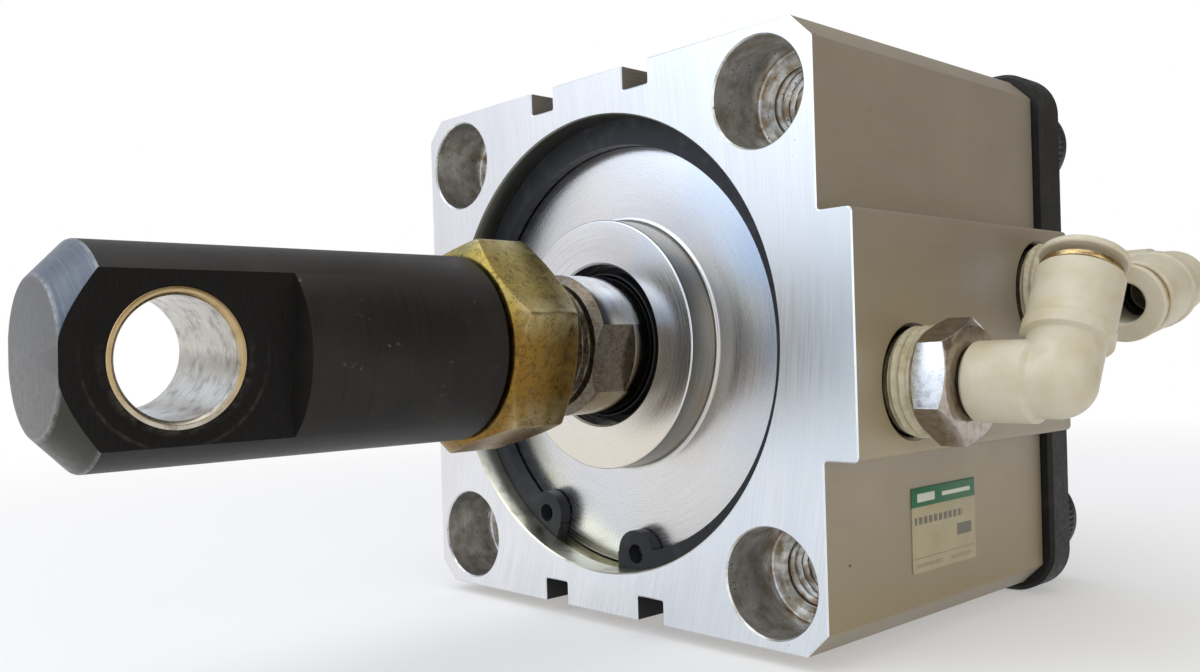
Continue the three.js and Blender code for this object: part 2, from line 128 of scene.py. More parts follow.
def rounded(points, radii, closed=True, seg=4):
    """A polyline whose corners are rounded; radii is one number or one per point."""
    pts = [np.array(p, float) for p in points]
    n = len(pts)
    rr = [radii] * n if np.isscalar(radii) else list(radii)
    out = []
    for i, p in enumerate(pts):
        if (not closed and i in (0, n - 1)) or rr[i] <= 0:
            out.append(p)
            continue
        a, b = pts[i - 1] - p, pts[(i + 1) % n] - p
        la, lb = np.linalg.norm(a), np.linalg.norm(b)
        if la < 1e-9 or lb < 1e-9:
            out.append(p)
            continue
        a, b = a / la, b / lb
        half = math.acos(max(-1, min(1, a @ b))) / 2
        if half > rad(89):
            out.append(p)
            continue
        t = min(rr[i] / math.tan(half), 0.48 * la, 0.48 * lb)
        r = t * math.tan(half)
        c = p + (a + b) / np.linalg.norm(a + b) * (r / math.sin(half))
        s, e = p + a * t - c, p + b * t - c
        a0, a1 = math.atan2(s[1], s[0]), math.atan2(e[1], e[0])
        d = (a1 - a0 + math.pi) % (2 * math.pi) - math.pi
        out += [c + r * np.array([math.cos(a0 + d * k / seg), math.sin(a0 + d * k / seg)]) for k in range(seg + 1)]
    return out


def revolve(profile, seg=128, axis="Y", closed=False):
    """Points and faces of a turned solid. The profile is [radius, station] pairs, from axis to axis or a closed loop."""
    p = np.array(profile, float)
    n = len(p)
    th = 2 * np.pi * np.arange(seg) / seg
    c, s = np.cos(th)[:, None], np.sin(th)[:, None]
    u, w, st = c * p[None, :, 0], s * p[None, :, 0], np.repeat(p[None, :, 1], seg, 0)
    v = {"Y": (u, st, w), "X": (st, u, w), "Z": (u, w, st)}[axis]
    verts = np.stack(v, -1).reshape(-1, 3)
    faces = []
    for j in range(seg):
        k = (j + 1) % seg
        for i in range(n if closed else n - 1):
            m = (i + 1) % n
            faces.append([j * n + i, j * n + m, k * n + m, k * n + i])
    return verts, faces


def turned(name, profile, seg=128, axis="Y", closed=False, at=(0, 0, 0), turn=None, smooth=32.0):
    v, f = revolve(profile, seg, axis, closed)
    if turn is not None:
        v = v @ np.array(turn).T
    return to_object(name, v + np.array(at, float), f, smooth)


def prism(name, outline, y0, y1, ease=0.0, inner=None):
    """An outline in x, z pushed along y, with its two rims eased."""
    p = np.array(outline, float)
    n = len(p)
    if ease:
        e = np.roll(p, -1, 0) - p
        ln = np.maximum(np.linalg.norm(e, axis=1, keepdims=True), 1e-9)
        e = e / ln
        area = np.sum(p[:, 0] * np.roll(p[:, 1], -1) - np.roll(p[:, 0], -1) * p[:, 1])
        nrm = np.stack([e[:, 1], -e[:, 0]], 1) * (1 if area > 0 else -1)
        m = nrm + np.roll(nrm, 1, 0)
        m = m / np.maximum(np.linalg.norm(m, axis=1, keepdims=True), 1e-9)
        cosh = np.maximum(np.sum(m * nrm, 1, keepdims=True), 0.4)
        ins = p - m * ease / cosh
        rings = [(ins, y0), (p, y0 + ease), (p, y1 - ease), (ins, y1)]
    else:
        rings = [(p, y0), (p, y1)]
    verts = np.vstack([np.stack([q[:, 0], np.full(n, y), q[:, 1]], 1) for q, y in rings])
    faces = []
    for k in range(len(rings) - 1):
        for i in range(n):
            j = (i + 1) % n
            faces.append([k * n + i, k * n + j, (k + 1) * n + j, (k + 1) * n + i])
    faces.append(list(range(n))[::-1])
    faces.append([(len(rings) - 1) * n + i for i in range(n)])
    return to_object(name, verts, faces)


def block(name, x, y, z):
    return prism(name, [(x[0], z[0]), (x[1], z[0]), (x[1], z[1]), (x[0], z[1])], y[0], y[1])


def about_y(deg):
    c, s = math.cos(rad(deg)), math.sin(rad(deg))
    return np.array([[c, 0, s], [0, 1, 0], [-s, 0, c]])


def about_x(deg):
    c, s = math.cos(rad(deg)), math.sin(rad(deg))
    return np.array([[1, 0, 0], [0, c, -s], [0, s, c]])


def moved(ob, turn=None, at=(0, 0, 0), about_y_shift=True):
    """Turns a finished mesh about the front-face origin, then shifts it, in mm."""
    co = np.zeros(len(ob.data.vertices) * 3)
    ob.data.vertices.foreach_get("co", co)
    co = co.reshape(-1, 3) * 1000
    co[:, 1] -= SHIFT
    if turn is not None:
        co = co @ np.array(turn).T
    co = co + np.array(at, float)
    co[:, 1] += SHIFT
    ob.data.vertices.foreach_set("co", (co * 0.001).ravel())
    ob.data.update()
    return ob


def hexagon(af, turn, corner=0.0):
    R = af / math.sqrt(3)
    pts = [(R * math.cos(rad(turn + 60 * k)), R * math.sin(rad(turn + 60 * k))) for k in range(6)]
    return rounded(pts, corner, seg=5) if corner else pts


def ridge(ph):
    """Height of a 60 degree thread, 0 in the root and 1 on the crest, over one pitch."""
    ph = np.mod(ph, 1.0)
    t = 1 - np.abs(ph - 0.5) * 2
    return np.clip((t - 0.16) / 0.68, 0, 1)


def thread(name, r_root, r_crest, y0, y1, pitch, other, seg=96, steps=14, fade=(1.0, 1.0), axis="Y", at=(0, 0, 0), lead=1.0, rough=None, centre=(0, 0)):
    """A threaded sleeve between its helical side and the plain radius `other`."""
    n = max(4, int(round((y1 - y0) / pitch * steps)))
    ys = np.linspace(y0, y1, n + 1)
    th = 2 * np.pi * np.arange(seg) / seg
    ph = ys[None, :] / pitch - lead * th[:, None] / (2 * np.pi)
    h = ridge(ph)
    env = np.clip((ys - y0) / (fade[0] * pitch), 0, 1) * np.clip((y1 - ys) / (fade[1] * pitch), 0, 1)
    r = r_root + (r_crest - r_root) * h * env[None, :]
    if rough is not None:
        r = r + rough(th[:, None], ys[None, :])
    n1 = n + 1
    r = np.concatenate([r, np.full((seg, 1), other), np.full((seg, 1), other)], 1)
    st = np.concatenate([ys, [y1, y0]])[None, :].repeat(seg, 0)
    u, w = r * np.cos(th)[:, None], r * np.sin(th)[:, None]
    v = {"Y": (u, st, w), "X": (st, u, w), "Z": (u, w, st)}[axis]
    verts = np.stack(v, -1).reshape(-1, 3) + np.array(at, float)
    m = n1 + 2
    faces = []
    for j in range(seg):
        k = (j + 1) % seg
        for i in range(m):
            q = (i + 1) % m
            faces.append([j * m + i, j * m + q, k * m + q, k * m + i])
    return to_object(name, verts, faces, 50)


# -------------------------------------------------------------- material tools
class Mat:
    """A node material on object coordinates counted in millimetres."""

    def __init__(self, name, **base):
        self.m = bpy.data.materials.new(name)
        self.m.use_nodes = True
        self.t = self.m.node_tree
        self.t.nodes.clear()
        self.out = self.node("ShaderNodeOutputMaterial")
        self.b = self.node("ShaderNodeBsdfPrincipled")
        self.t.links.new(self.b.outputs[0], self.out.inputs[0])
        tc = self.node("ShaderNodeTexCoord")
        mp = self.node("ShaderNodeMapping")
        mp.inputs["Scale"].default_value = (1000, 1000, 1000)
        mp.inputs["Location"].default_value = (0, 80, 0)
        self.t.links.new(tc.outputs["Object"], mp.inputs["Vector"])
        self.mm = mp.outputs[0]
        for k, v in base.items():
            self.b.inputs[k.replace("_", " ")].default_value = v

    def node(self, kind, **props):
        n = self.t.nodes.new(kind)
        for k, v in props.items():
            setattr(n, k, v)
        return n

    def put(self, sock, v):
        if v is None:
            return
        if isinstance(v, bpy.types.NodeSocket):
            self.t.links.new(v, sock)
        elif isinstance(v, (tuple, list)) and len(v) == 3 and sock.type == "RGBA":
            sock.default_value = (*v, 1)
        else:
            sock.default_value = v

    def set(self, name, v):
        self.put(self.b.inputs[name], v)

    def vec(self, scale=(1, 1, 1), loc=(0, 0, 0), rot=(0, 0, 0), src=None):
        n = self.node("ShaderNodeMapping")
        n.inputs["Scale"].default_value = scale
        n.inputs["Location"].default_value = loc
        n.inputs["Rotation"].default_value = [rad(a) for a in rot]
        self.t.links.new(src or self.mm, n.inputs["Vector"])
        return n.outputs[0]

    def noise(self, vec=None, scale=1.0, detail=3.0, rough=0.55, dist=0.0):
        n = self.node("ShaderNodeTexNoise")
        self.t.links.new(vec or self.mm, n.inputs["Vector"])
        n.inputs["Scale"].default_value = scale
        n.inputs["Detail"].default_value = detail
        n.inputs["Roughness"].default_value = rough
        n.inputs["Distortion"].default_value = dist
        return n.outputs[0]

    def cells(self, vec=None, scale=1.0, feature="F1"):
        n = self.node("ShaderNodeTexVoronoi", feature=feature)
        self.t.links.new(vec or self.mm, n.inputs["Vector"])
        n.inputs["Scale"].default_value = scale
        return n.outputs["Distance"]

    def ramp(self, fac, stops, mode="LINEAR"):
        n = self.node("ShaderNodeValToRGB")
        n.color_ramp.interpolation = mode
        e = n.color_ramp.elements
        while len(e) < len(stops):
            e.new(0.5)
        for i, (at, col) in enumerate(stops):
            e[i].position = at
            e[i].color = (*(col if not np.isscalar(col) else (col,) * 3), 1)
        self.t.links.new(fac, n.inputs[0])
        return n.outputs[0]

    def step(self, fac, lo, hi, a=0.0, b=1.0):
        n = self.node("ShaderNodeMapRange", clamp=True)
        self.put(n.inputs[0], fac)
        for i, v in zip((1, 2, 3, 4), (lo, hi, a, b)):
            n.inputs[i].default_value = v
        return n.outputs[0]

    def math(self, op, a, b=None, c=None):
        n = self.node("ShaderNodeMath", operation=op)
        for s, v in zip(n.inputs, (a, b, c)):
            self.put(s, v)
        return n.outputs[0]

    def mix(self, fac, a, b, mode="MIX"):
        n = self.node("ShaderNodeMix", data_type="RGBA", blend_type=mode)
        self.put(n.inputs["Factor"], fac)
        ca = [s for s in n.inputs if s.name == "A" and s.type == "RGBA"][0]
        cb = [s for s in n.inputs if s.name == "B" and s.type == "RGBA"][0]
        self.put(ca, a)
        self.put(cb, b)
        return [s for s in n.outputs if s.type == "RGBA"][0]

    def xyz(self, vec=None):
        n = self.node("ShaderNodeSeparateXYZ")
        self.t.links.new(vec or self.mm, n.inputs[0])
        return n.outputs[0], n.outputs[1], n.outputs[2]

    def combine(self, x=0.0, y=0.0, z=0.0):
        n = self.node("ShaderNodeCombineXYZ")
        for s, v in zip(n.inputs, (x, y, z)):
            self.put(s, v)
        return n.outputs[0]

    def polar(self, cx=0.0, cz=0.0, axis="Y", cy=0.0):
        """Distance from an axis, angle about it and the station along it."""
        x, y, z = self.xyz()
        if axis == "Y":
            a, b, s = self.math("SUBTRACT", x, cx), self.math("SUBTRACT", z, cz), y
        else:
            a, b, s = self.math("SUBTRACT", y, cy), self.math("SUBTRACT", z, cz), x
        r = self.math("SQRT", self.math("ADD", self.math("MULTIPLY", a, a), self.math("MULTIPLY", b, b)))
        return r, self.math("ARCTAN2", b, a), s

    def bump(self, height, distance, strength=1.0, normal=None):
        n = self.node("ShaderNodeBump")
        n.inputs["Strength"].default_value = strength
        n.inputs["Distance"].default_value = distance
        self.t.links.new(height, n.inputs["Height"])
        if normal is not None:
            self.t.links.new(normal, n.inputs["Normal"])
        return n.outputs[0]


MATS = {}


def material(fn):
    MATS[fn.__name__] = fn().m
    return fn


@material
def anodised():
    g = Mat("anodised", Metallic=0.55, IOR=1.5)
    x, y, z = g.xyz()
    grain = g.noise(scale=7.0, detail=4)
    draw = g.noise(g.vec((3.5, 0.03, 3.5)), 1.0, 4, 0.6)
    cloud = g.noise(scale=0.05, detail=3)
    col = g.ramp(cloud, [(0.3, (0.335, 0.290, 0.222)), (0.7, (0.385, 0.337, 0.262))])
    col = g.mix(g.step(draw, 0.35, 0.7, 0.0, 0.22), col, (0.40, 0.365, 0.31))
    col = g.mix(g.step(grain, 0.35, 0.75, 0.0, 0.20), col, (0.20, 0.172, 0.14))
    # Painted reflection: a warm golden glow on the boss face round the front fitting.
    dy, dz = g.math("SUBTRACT", y, 16.0), g.math("ADD", z, 7.5)
    near = g.math("SQRT", g.math("ADD", g.math("MULTIPLY", dy, dy), g.math("MULTIPLY", dz, dz)))
    painted_fitting_glow = g.math("MULTIPLY", g.step(near, 27.0, 10.0), g.step(x, 54.0, 54.8))
    col = g.mix(g.math("MULTIPLY", painted_fitting_glow, 0.5), col, (0.42, 0.335, 0.175))
    # Painted reflection: the lower part of the port side is tinted yellower, standing in for warm reflected light.
    low = g.math("MULTIPLY", g.step(z, -18.0, -46.0), g.step(x, 48.0, 48.8))
    col = g.mix(g.math("MULTIPLY", low, 0.75), col, (0.330, 0.262, 0.140))
    nick = g.step(g.cells(g.vec((0.16, 0.09, 0.13)), 1.0), 0.035, 0.02)
    col = g.mix(nick, col, (0.06, 0.05, 0.04))
    g.set("Base Color", col)
    g.set("Roughness", g.step(grain, 0.2, 0.8, 0.42, 0.55))
    g.set("Normal", g.bump(grain, 0.00003, 0.35, g.bump(draw, 0.00003, 0.25)))
    return g


@material
def face_cut():
    """The front face, swept by a large milling head."""
    g = Mat("face_cut", Metallic=1.0)
    r, a, _ = g.polar(-210.0, 18.0)
    arcs = g.noise(g.combine(g.math("MULTIPLY", r, 3.2), g.math("MULTIPLY", a, 14.0), 0.0), 1.0, 5, 0.65)
    wide = g.noise(g.combine(g.math("MULTIPLY", r, 0.35), g.math("MULTIPLY", a, 2.0), 3.0), 1.0, 3, 0.5)
    cloud = g.noise(scale=0.06, detail=3)
    col = g.ramp(arcs, [(0.30, (0.73, 0.745, 0.77)), (0.50, (0.84, 0.855, 0.88)), (0.70, (0.93, 0.94, 0.955))])
    col = g.mix(g.step(wide, 0.35, 0.65, 0.0, 0.35), col, (0.72, 0.745, 0.80))
    col = g.mix(g.step(cloud, 0.45, 0.75, 0.0, 0.30), col, (0.66, 0.66, 0.67))
    x, y, z = g.xyz()
    # Painted reflection: a bluish tint over the right half of the front face.
    blue = g.math("MULTIPLY", g.step(x, -10.0, 44.0), g.step(g.noise(scale=0.028, detail=2), 0.35, 0.62, 0.45, 1.0))
    col = g.mix(g.math("MULTIPLY", blue, 0.6), col, (0.74, 0.84, 0.94))
    # Painted reflection: a pinkish tint over the left half of the front face.
    painted_pink_reflection = g.math("MULTIPLY", g.step(x, 0.0, -45.0), g.step(g.noise(g.vec((1, 1, 1), (40, 0, 9)), 0.035, 2), 0.40, 0.62))
    col = g.mix(g.math("MULTIPLY", painted_pink_reflection, 0.5), col, (0.80, 0.755, 0.765))
    speck = g.step(g.cells(g.vec((0.55, 1, 0.55)), 1.0), 0.05, 0.03)
    dirt = g.math("MULTIPLY", speck, g.step(g.noise(scale=0.09, detail=2), 0.52, 0.62))
    col = g.mix(dirt, col, (0.12, 0.10, 0.08))
    g.set("Base Color", col)
    g.set("Roughness", g.step(arcs, 0.25, 0.75, 0.42, 0.30))
    g.set("Normal", g.bump(arcs, 0.00004, 0.35))
    return g


def turned_metal(name, light, dark, rough, aniso=0.55, lines=6.0, axis="Y", cy=0.0, cz=0.0, stain=None, tint=False, painted_lower_light=None):
    g = Mat(name, Metallic=1.0, Anisotropic=aniso)
    r, a, s = g.polar(0.0, cz, axis, cy)
    rings = g.noise(g.combine(g.math("MULTIPLY", r, lines), g.math("MULTIPLY", a, 1.2), g.math("MULTIPLY", s, lines)), 1.0, 5, 0.7)
    cloud = g.noise(scale=0.11, detail=3)
    col = g.ramp(rings, [(0.32, dark), (0.68, light)])
    col = g.mix(g.step(cloud, 0.4, 0.75, 0.0, 0.35), col, tuple(0.82 * c for c in light))
    speck = g.step(g.cells(g.vec((0.6, 0.6, 0.6)), 1.0), 0.07, 0.04)
    dirt = g.math("MULTIPLY", speck, g.step(g.noise(scale=0.13, detail=2), 0.55, 0.66))
    col = g.mix(dirt, col, (0.10, 0.085, 0.07))
    # With tint, the cover gets a painted sheen, painted reflections and a painted shadow.
    if tint:
        x, y, z = g.xyz()
        # Painted sheen: soft dark and light lobes round the turned disc.
        painted_sheen_lobes = g.noise(g.combine(g.math("COSINE", a), g.math("SINE", a), g.math("MULTIPLY", r, 0.01)), 1.3, 2, 0.5)
        col = g.mix(g.step(painted_sheen_lobes, 0.40, 0.66, 0.0, 0.6), col, (0.74, 0.70, 0.66))
        # Painted reflection: a blue tint on the right of the disc, away from the sheen lobes.
        col = g.mix(g.math("MULTIPLY", g.step(g.math("ADD", x, g.math("MULTIPLY", z, 0.45)), 8.0, 40.0), g.step(painted_sheen_lobes, 0.62, 0.38, 0.45, 0.95)), col, (0.34, 0.49, 0.72))
        # Painted reflection: the lower part of the nose face is tinted cream.
        painted_cream_reflection = g.math("MULTIPLY", g.step(r, 23.2, 22.6), g.step(z, -4.0, -18.0))
        col = g.mix(g.math("MULTIPLY", painted_cream_reflection, 0.6), col, (0.80, 0.71, 0.56))
        # Painted shadow: a warm dark band on the face just right of the nose.
        painted_nose_shadow = g.math("MULTIPLY", g.step(r, 30.0, 23.0), g.math("MULTIPLY", g.step(r, 22.5, 22.9), g.step(x, 8.0, 22.0)))
        col = g.mix(g.math("MULTIPLY", painted_nose_shadow, 0.6), col, (0.52, 0.46, 0.38))
    # Painted light: the lower part of the wall is blended towards a pale colour, as where light falls on it.
    if painted_lower_light:
        x, y, z = g.xyz()
        col = g.mix(g.step(z, painted_lower_light[1], painted_lower_light[2]), col, painted_lower_light[0])
    if stain:
        col = g.mix(g.step(g.noise(scale=0.3, detail=4), 0.52, 0.7, 0.0, stain[1]), col, stain[0])
    g.set("Base Color", col)
    g.set("Roughness", g.step(rings, 0.25, 0.75, rough - 0.05, rough + 0.08))
    g.set("Normal", g.bump(rings, 0.00002, 0.30))
    t = g.node("ShaderNodeTangent", direction_type="RADIAL", axis=axis)
    g.t.links.new(t.outputs[0], g.b.inputs["Tangent"])
    return g


@material
def cover_turned():
    return turned_metal("cover_turned", (0.80, 0.815, 0.845), (0.63, 0.645, 0.68), 0.26, 0.6, 5.0, tint=True)


@material
def nose_wall():
    return turned_metal("nose_wall", (0.44, 0.43, 0.40), (0.26, 0.25, 0.225), 0.30, 0.3, 4.0, stain=((0.40, 0.31, 0.18), 0.5))


@material
def groove():
    """The slots' walls, with dark blotches, and painted shade darkening them towards the underside."""
    g = Mat("groove", Metallic=0.4)
    x, y, z = g.xyz()
    draw = g.noise(g.vec((3.0, 0.05, 3.0)), 1.0, 4, 0.6)
    f = g.noise(scale=1.2, detail=4)
    col = g.ramp(draw, [(0.3, (0.175, 0.160, 0.135)), (0.7, (0.235, 0.215, 0.185))])
    # Painted shade: the walls darken to near black towards the underside.
    col = g.mix(g.step(z, 10.0, -10.0), col, (0.022, 0.020, 0.020))
    col = g.mix(g.step(f, 0.55, 0.75, 0.0, 0.4), col, (0.05, 0.045, 0.04))
    g.set("Base Color", col)
    g.set("Roughness", g.step(f, 0.2, 0.8, 0.45, 0.65))
    g.set("Normal", g.bump(draw, 0.00003, 0.3))
    return g


@material
def zinc_worn():
    """The nut's edges, where handling has thinned the chromate."""
    g = Mat("zinc_worn", Metallic=1.0)
    f = g.noise(scale=1.3, detail=5)
    col = g.ramp(f, [(0.35, (0.34, 0.27, 0.12)), (0.52, (0.66, 0.60, 0.43)), (0.72, (0.80, 0.77, 0.68))])
    g.set("Base Color", col)
    g.set("Roughness", g.step(f, 0.2, 0.8, 0.22, 0.42))
    g.set("Normal", g.bump(f, 0.00003, 0.3))
    return g


@material
def guide_gold():
    return turned_metal("guide_gold", (0.62, 0.47, 0.24), (0.34, 0.24, 0.11), 0.22, 0.3, 4.0)


@material
def inner_turned():
    return turned_metal("inner_turned", (0.62, 0.63, 0.64), (0.45, 0.46, 0.47), 0.35, 0.4, 3.0)


@material
def mouth_wall():
    # The pale lower part of the mouth wall is painted light.
    return turned_metal("mouth_wall", (0.30, 0.30, 0.26), (0.16, 0.16, 0.135), 0.32, 0.4, 5.0, stain=((0.22, 0.19, 0.11), 0.5), painted_lower_light=((0.80, 0.78, 0.64), 4.0, -22.0))


@material
def counterbore():
    """Oily counterbores with chips, browner towards the step."""
    g = Mat("counterbore", Metallic=1.0)
    x, y, z = g.xyz()
    rings = g.noise(g.vec((0.3, 5.0, 0.3)), 1.0, 4, 0.6)
    cloud = g.noise(scale=0.35, detail=4)
    col = g.ramp(rings, [(0.3, (0.58, 0.575, 0.55)), (0.7, (0.86, 0.88, 0.90))])
    col = g.mix(g.step(cloud, 0.42, 0.66, 0.0, 0.75), col, (0.36, 0.325, 0.245))
    # Browner towards the step at the bottom of the counterbore.
    near = g.math("MULTIPLY", g.step(y, 8.5, 12.0), g.step(g.noise(scale=0.5, detail=4), 0.42, 0.62))
    col = g.mix(g.math("MULTIPLY", near, 0.75), col, (0.30, 0.19, 0.085))
    specks = g.math("MULTIPLY", g.step(g.cells(g.vec((1.1, 1.1, 1.1)), 1.0), 0.20, 0.12), g.step(g.noise(scale=0.55, detail=2), 0.50, 0.58))
    col = g.mix(specks, col, (0.045, 0.035, 0.025))
    g.set("Base Color", col)
    g.set("Roughness", g.step(cloud, 0.3, 0.8, 0.26, 0.48))
    g.set("Normal", g.bump(g.math("ADD", rings, specks), 0.00004, 0.35))
    return g


@material
def phosphate():
    g = Mat("phosphate", Metallic=0.35, Specular_IOR_Level=0.3)
    f = g.noise(scale=4.0, detail=5)
    c = g.noise(scale=0.25, detail=3)
    col = g.ramp(f, [(0.3, (0.014, 0.0155, 0.019)), (0.7, (0.036, 0.039, 0.047))])
    col = g.mix(g.step(c, 0.52, 0.75, 0.0, 0.5), col, (0.070, 0.072, 0.080))
    g.set("Base Color", col)
    g.set("Roughness", g.step(f, 0.2, 0.8, 0.36, 0.55))
    g.set("Normal", g.bump(f, 0.00003, 0.4))
    return g


@material
def rubber():
    g = Mat("rubber", Metallic=0.0)
    f = g.noise(scale=3.0, detail=4)
    g.set("Base Color", g.ramp(f, [(0.3, (0.004, 0.004, 0.005)), (0.75, (0.012, 0.012, 0.015))]))
    g.set("Roughness", g.step(f, 0.2, 0.8, 0.42, 0.62))
    g.set("Normal", g.bump(f, 0.00003, 0.3))
    return g


@material
def chrome():
    g = Mat("chrome", Metallic=1.0)
    r, a, s = g.polar()
    lines = g.noise(g.combine(g.math("MULTIPLY", s, 9.0), g.math("MULTIPLY", a, 1.0), 0.0), 1.0, 4, 0.6)
    smear = g.noise(g.combine(g.math("MULTIPLY", s, 0.5), g.math("MULTIPLY", a, 2.2), 0.0), 1.0, 4, 0.6)
    x, y, z = g.xyz()
    col = g.ramp(smear, [(0.35, (0.36, 0.345, 0.315)), (0.65, (0.52, 0.545, 0.60))])
    # Painted reflection: a golden brown tint on the lower part of the rod.
    col = g.mix(g.math("MULTIPLY", g.step(z, 9.0, -2.0), g.step(smear, 0.3, 0.7, 0.65, 0.98)), col, (0.235, 0.185, 0.105))
    g.set("Base Color", col)
    g.set("Roughness", g.step(smear, 0.3, 0.75, 0.09, 0.22))
    g.set("Normal", g.bump(lines, 0.000006, 0.25))
    return g


@material
def rod_flat():
    """Milled flats and the bare thread end: plain steel, tarnished."""
    g = Mat("rod_flat", Metallic=1.0)
    x, y, z = g.xyz()
    mill = g.noise(g.vec((1.0, 0.6, 6.0)), 1.0, 4, 0.6)
    f = g.noise(scale=1.6, detail=5)
    col = g.ramp(f, [(0.3, (0.105, 0.088, 0.068)), (0.65, (0.215, 0.183, 0.142))])
    col = g.mix(g.step(mill, 0.5, 0.8, 0.0, 0.4), col, (0.38, 0.345, 0.29))
    rust = g.math("MULTIPLY", g.step(g.noise(scale=0.9, detail=5), 0.56, 0.66), 0.8)
    col = g.mix(rust, col, (0.13, 0.072, 0.035))
    g.set("Base Color", col)
    g.set("Roughness", g.step(f, 0.25, 0.8, 0.28, 0.50))
    g.set("Normal", g.bump(mill, 0.00003, 0.4))
    return g


@material
def yellow_zinc():
    g = Mat("yellow_zinc", Metallic=1.0)
    big = g.noise(scale=0.10, detail=3, dist=0.4)
    mid = g.noise(scale=0.5, detail=5)
    fine = g.noise(scale=4.0, detail=4)
    x, y, z = g.xyz()
    col = g.ramp(big, [(0.30, (0.290, 0.232, 0.075)), (0.48, (0.350, 0.262, 0.064)), (0.62, (0.290, 0.262, 0.100)), (0.78, (0.300, 0.220, 0.060))])
    # Painted shade: the lower facets of the nut are darker and browner.
    low = g.step(g.math("ADD", z, g.math("MULTIPLY", g.math("SUBTRACT", mid, 0.5), 9.0)), 9.0, 1.0)
    col = g.mix(g.math("MULTIPLY", low, 0.9), col, (0.250, 0.128, 0.022))
    col = g.mix(g.step(mid, 0.50, 0.72, 0.0, 0.55), col, (0.185, 0.140, 0.060))
    col = g.mix(g.step(fine, 0.60, 0.80, 0.0, 0.35), col, (0.40, 0.32, 0.13))
    smut = g.step(g.noise(scale=1.1, detail=6), 0.50, 0.66, 0.0, 0.7)
    col = g.mix(smut, col, (0.115, 0.075, 0.028))
    r, a, st = g.polar()
    col = g.mix(g.math("MULTIPLY", g.step(r, 16.3, 17.9), g.step(mid, 0.35, 0.6, 0.2, 0.6)), col, (0.52, 0.45, 0.26))
    spots = g.math("MULTIPLY", g.step(g.cells(scale=2.3), 0.34, 0.16), g.step(g.noise(scale=0.33, detail=4), 0.42, 0.58))
    col = g.mix(spots, col, (0.060, 0.032, 0.014))
    g.set("Base Color", col)
    g.set("Roughness", g.step(mid, 0.25, 0.8, 0.24, 0.46))
    g.set("Normal", g.bump(g.math("ADD", fine, g.math("MULTIPLY", mid, 1.5)), 0.00004, 0.3))
    return g


@material
def black_oxide():
    """Oxide over turned steel; bare grey shows at the worn end."""
    g = Mat("black_oxide", Metallic=0.45, Specular_IOR_Level=0.35)
    r, a, s = g.polar()
    lathe = g.noise(g.combine(g.math("MULTIPLY", s, 5.0), g.math("MULTIPLY", a, 1.2), 0.0), 1.0, 4, 0.65)
    f = g.noise(scale=1.2, detail=5)
    big = g.noise(scale=0.08, detail=3)
    col = g.ramp(lathe, [(0.3, (0.0085, 0.008, 0.0072)), (0.7, (0.0215, 0.0195, 0.0175))])
    col = g.mix(g.step(big, 0.45, 0.75, 0.0, 0.5), col, (0.036, 0.030, 0.025))
    scuff = g.math("MULTIPLY", g.step(f, 0.62, 0.74), g.step(g.noise(scale=0.2, detail=2), 0.55, 0.7))
    col = g.mix(g.math("MULTIPLY", scuff, 0.6), col, (0.20, 0.18, 0.16))
    g.set("Base Color", col)
    g.set("Roughness", g.step(lathe, 0.2, 0.8, 0.42, 0.55))
    g.set("Normal", g.bump(lathe, 0.00003, 0.4))
    return g


@material
def oxide_flat():
    """The tongue's flats: deep black, scuffed round the hole."""
    g = Mat("oxide_flat", Metallic=0.5, Specular_IOR_Level=0.2)
    x, y, z = g.xyz()
    mill = g.noise(g.vec((0.5, 4.5, 0.5)), 1.0, 4, 0.6)
    dy, dz = g.math("ADD", y, 81.5), z
    rr = g.math("SQRT", g.math("ADD", g.math("MULTIPLY", dy, dy), g.math("MULTIPLY", dz, dz)))
    ring = g.math("MAXIMUM", g.math("MULTIPLY", g.math("MULTIPLY", g.step(rr, 11.9, 12.2), g.step(rr, 12.6, 12.3)), 0.6), g.math("MULTIPLY", g.step(rr, 9.3, 9.6), g.step(rr, 10.6, 9.9)))
    low = g.step(z, 3.0, -7.0)
    n = g.step(g.noise(scale=0.7, detail=6), 0.38, 0.66)
    col = g.ramp(mill, [(0.3, (0.0055, 0.005, 0.005)), (0.7, (0.013, 0.012, 0.011))])
    mask = g.math("MULTIPLY", g.math("MULTIPLY", ring, low), n)
    col = g.mix(g.math("MULTIPLY", mask, 0.42), col, (0.13, 0.112, 0.085))
    g.set("Base Color", col)
    g.set("Roughness", g.step(mill, 0.2, 0.8, 0.50, 0.65))
    g.set("Normal", g.bump(mill, 0.00003, 0.35))
    return g


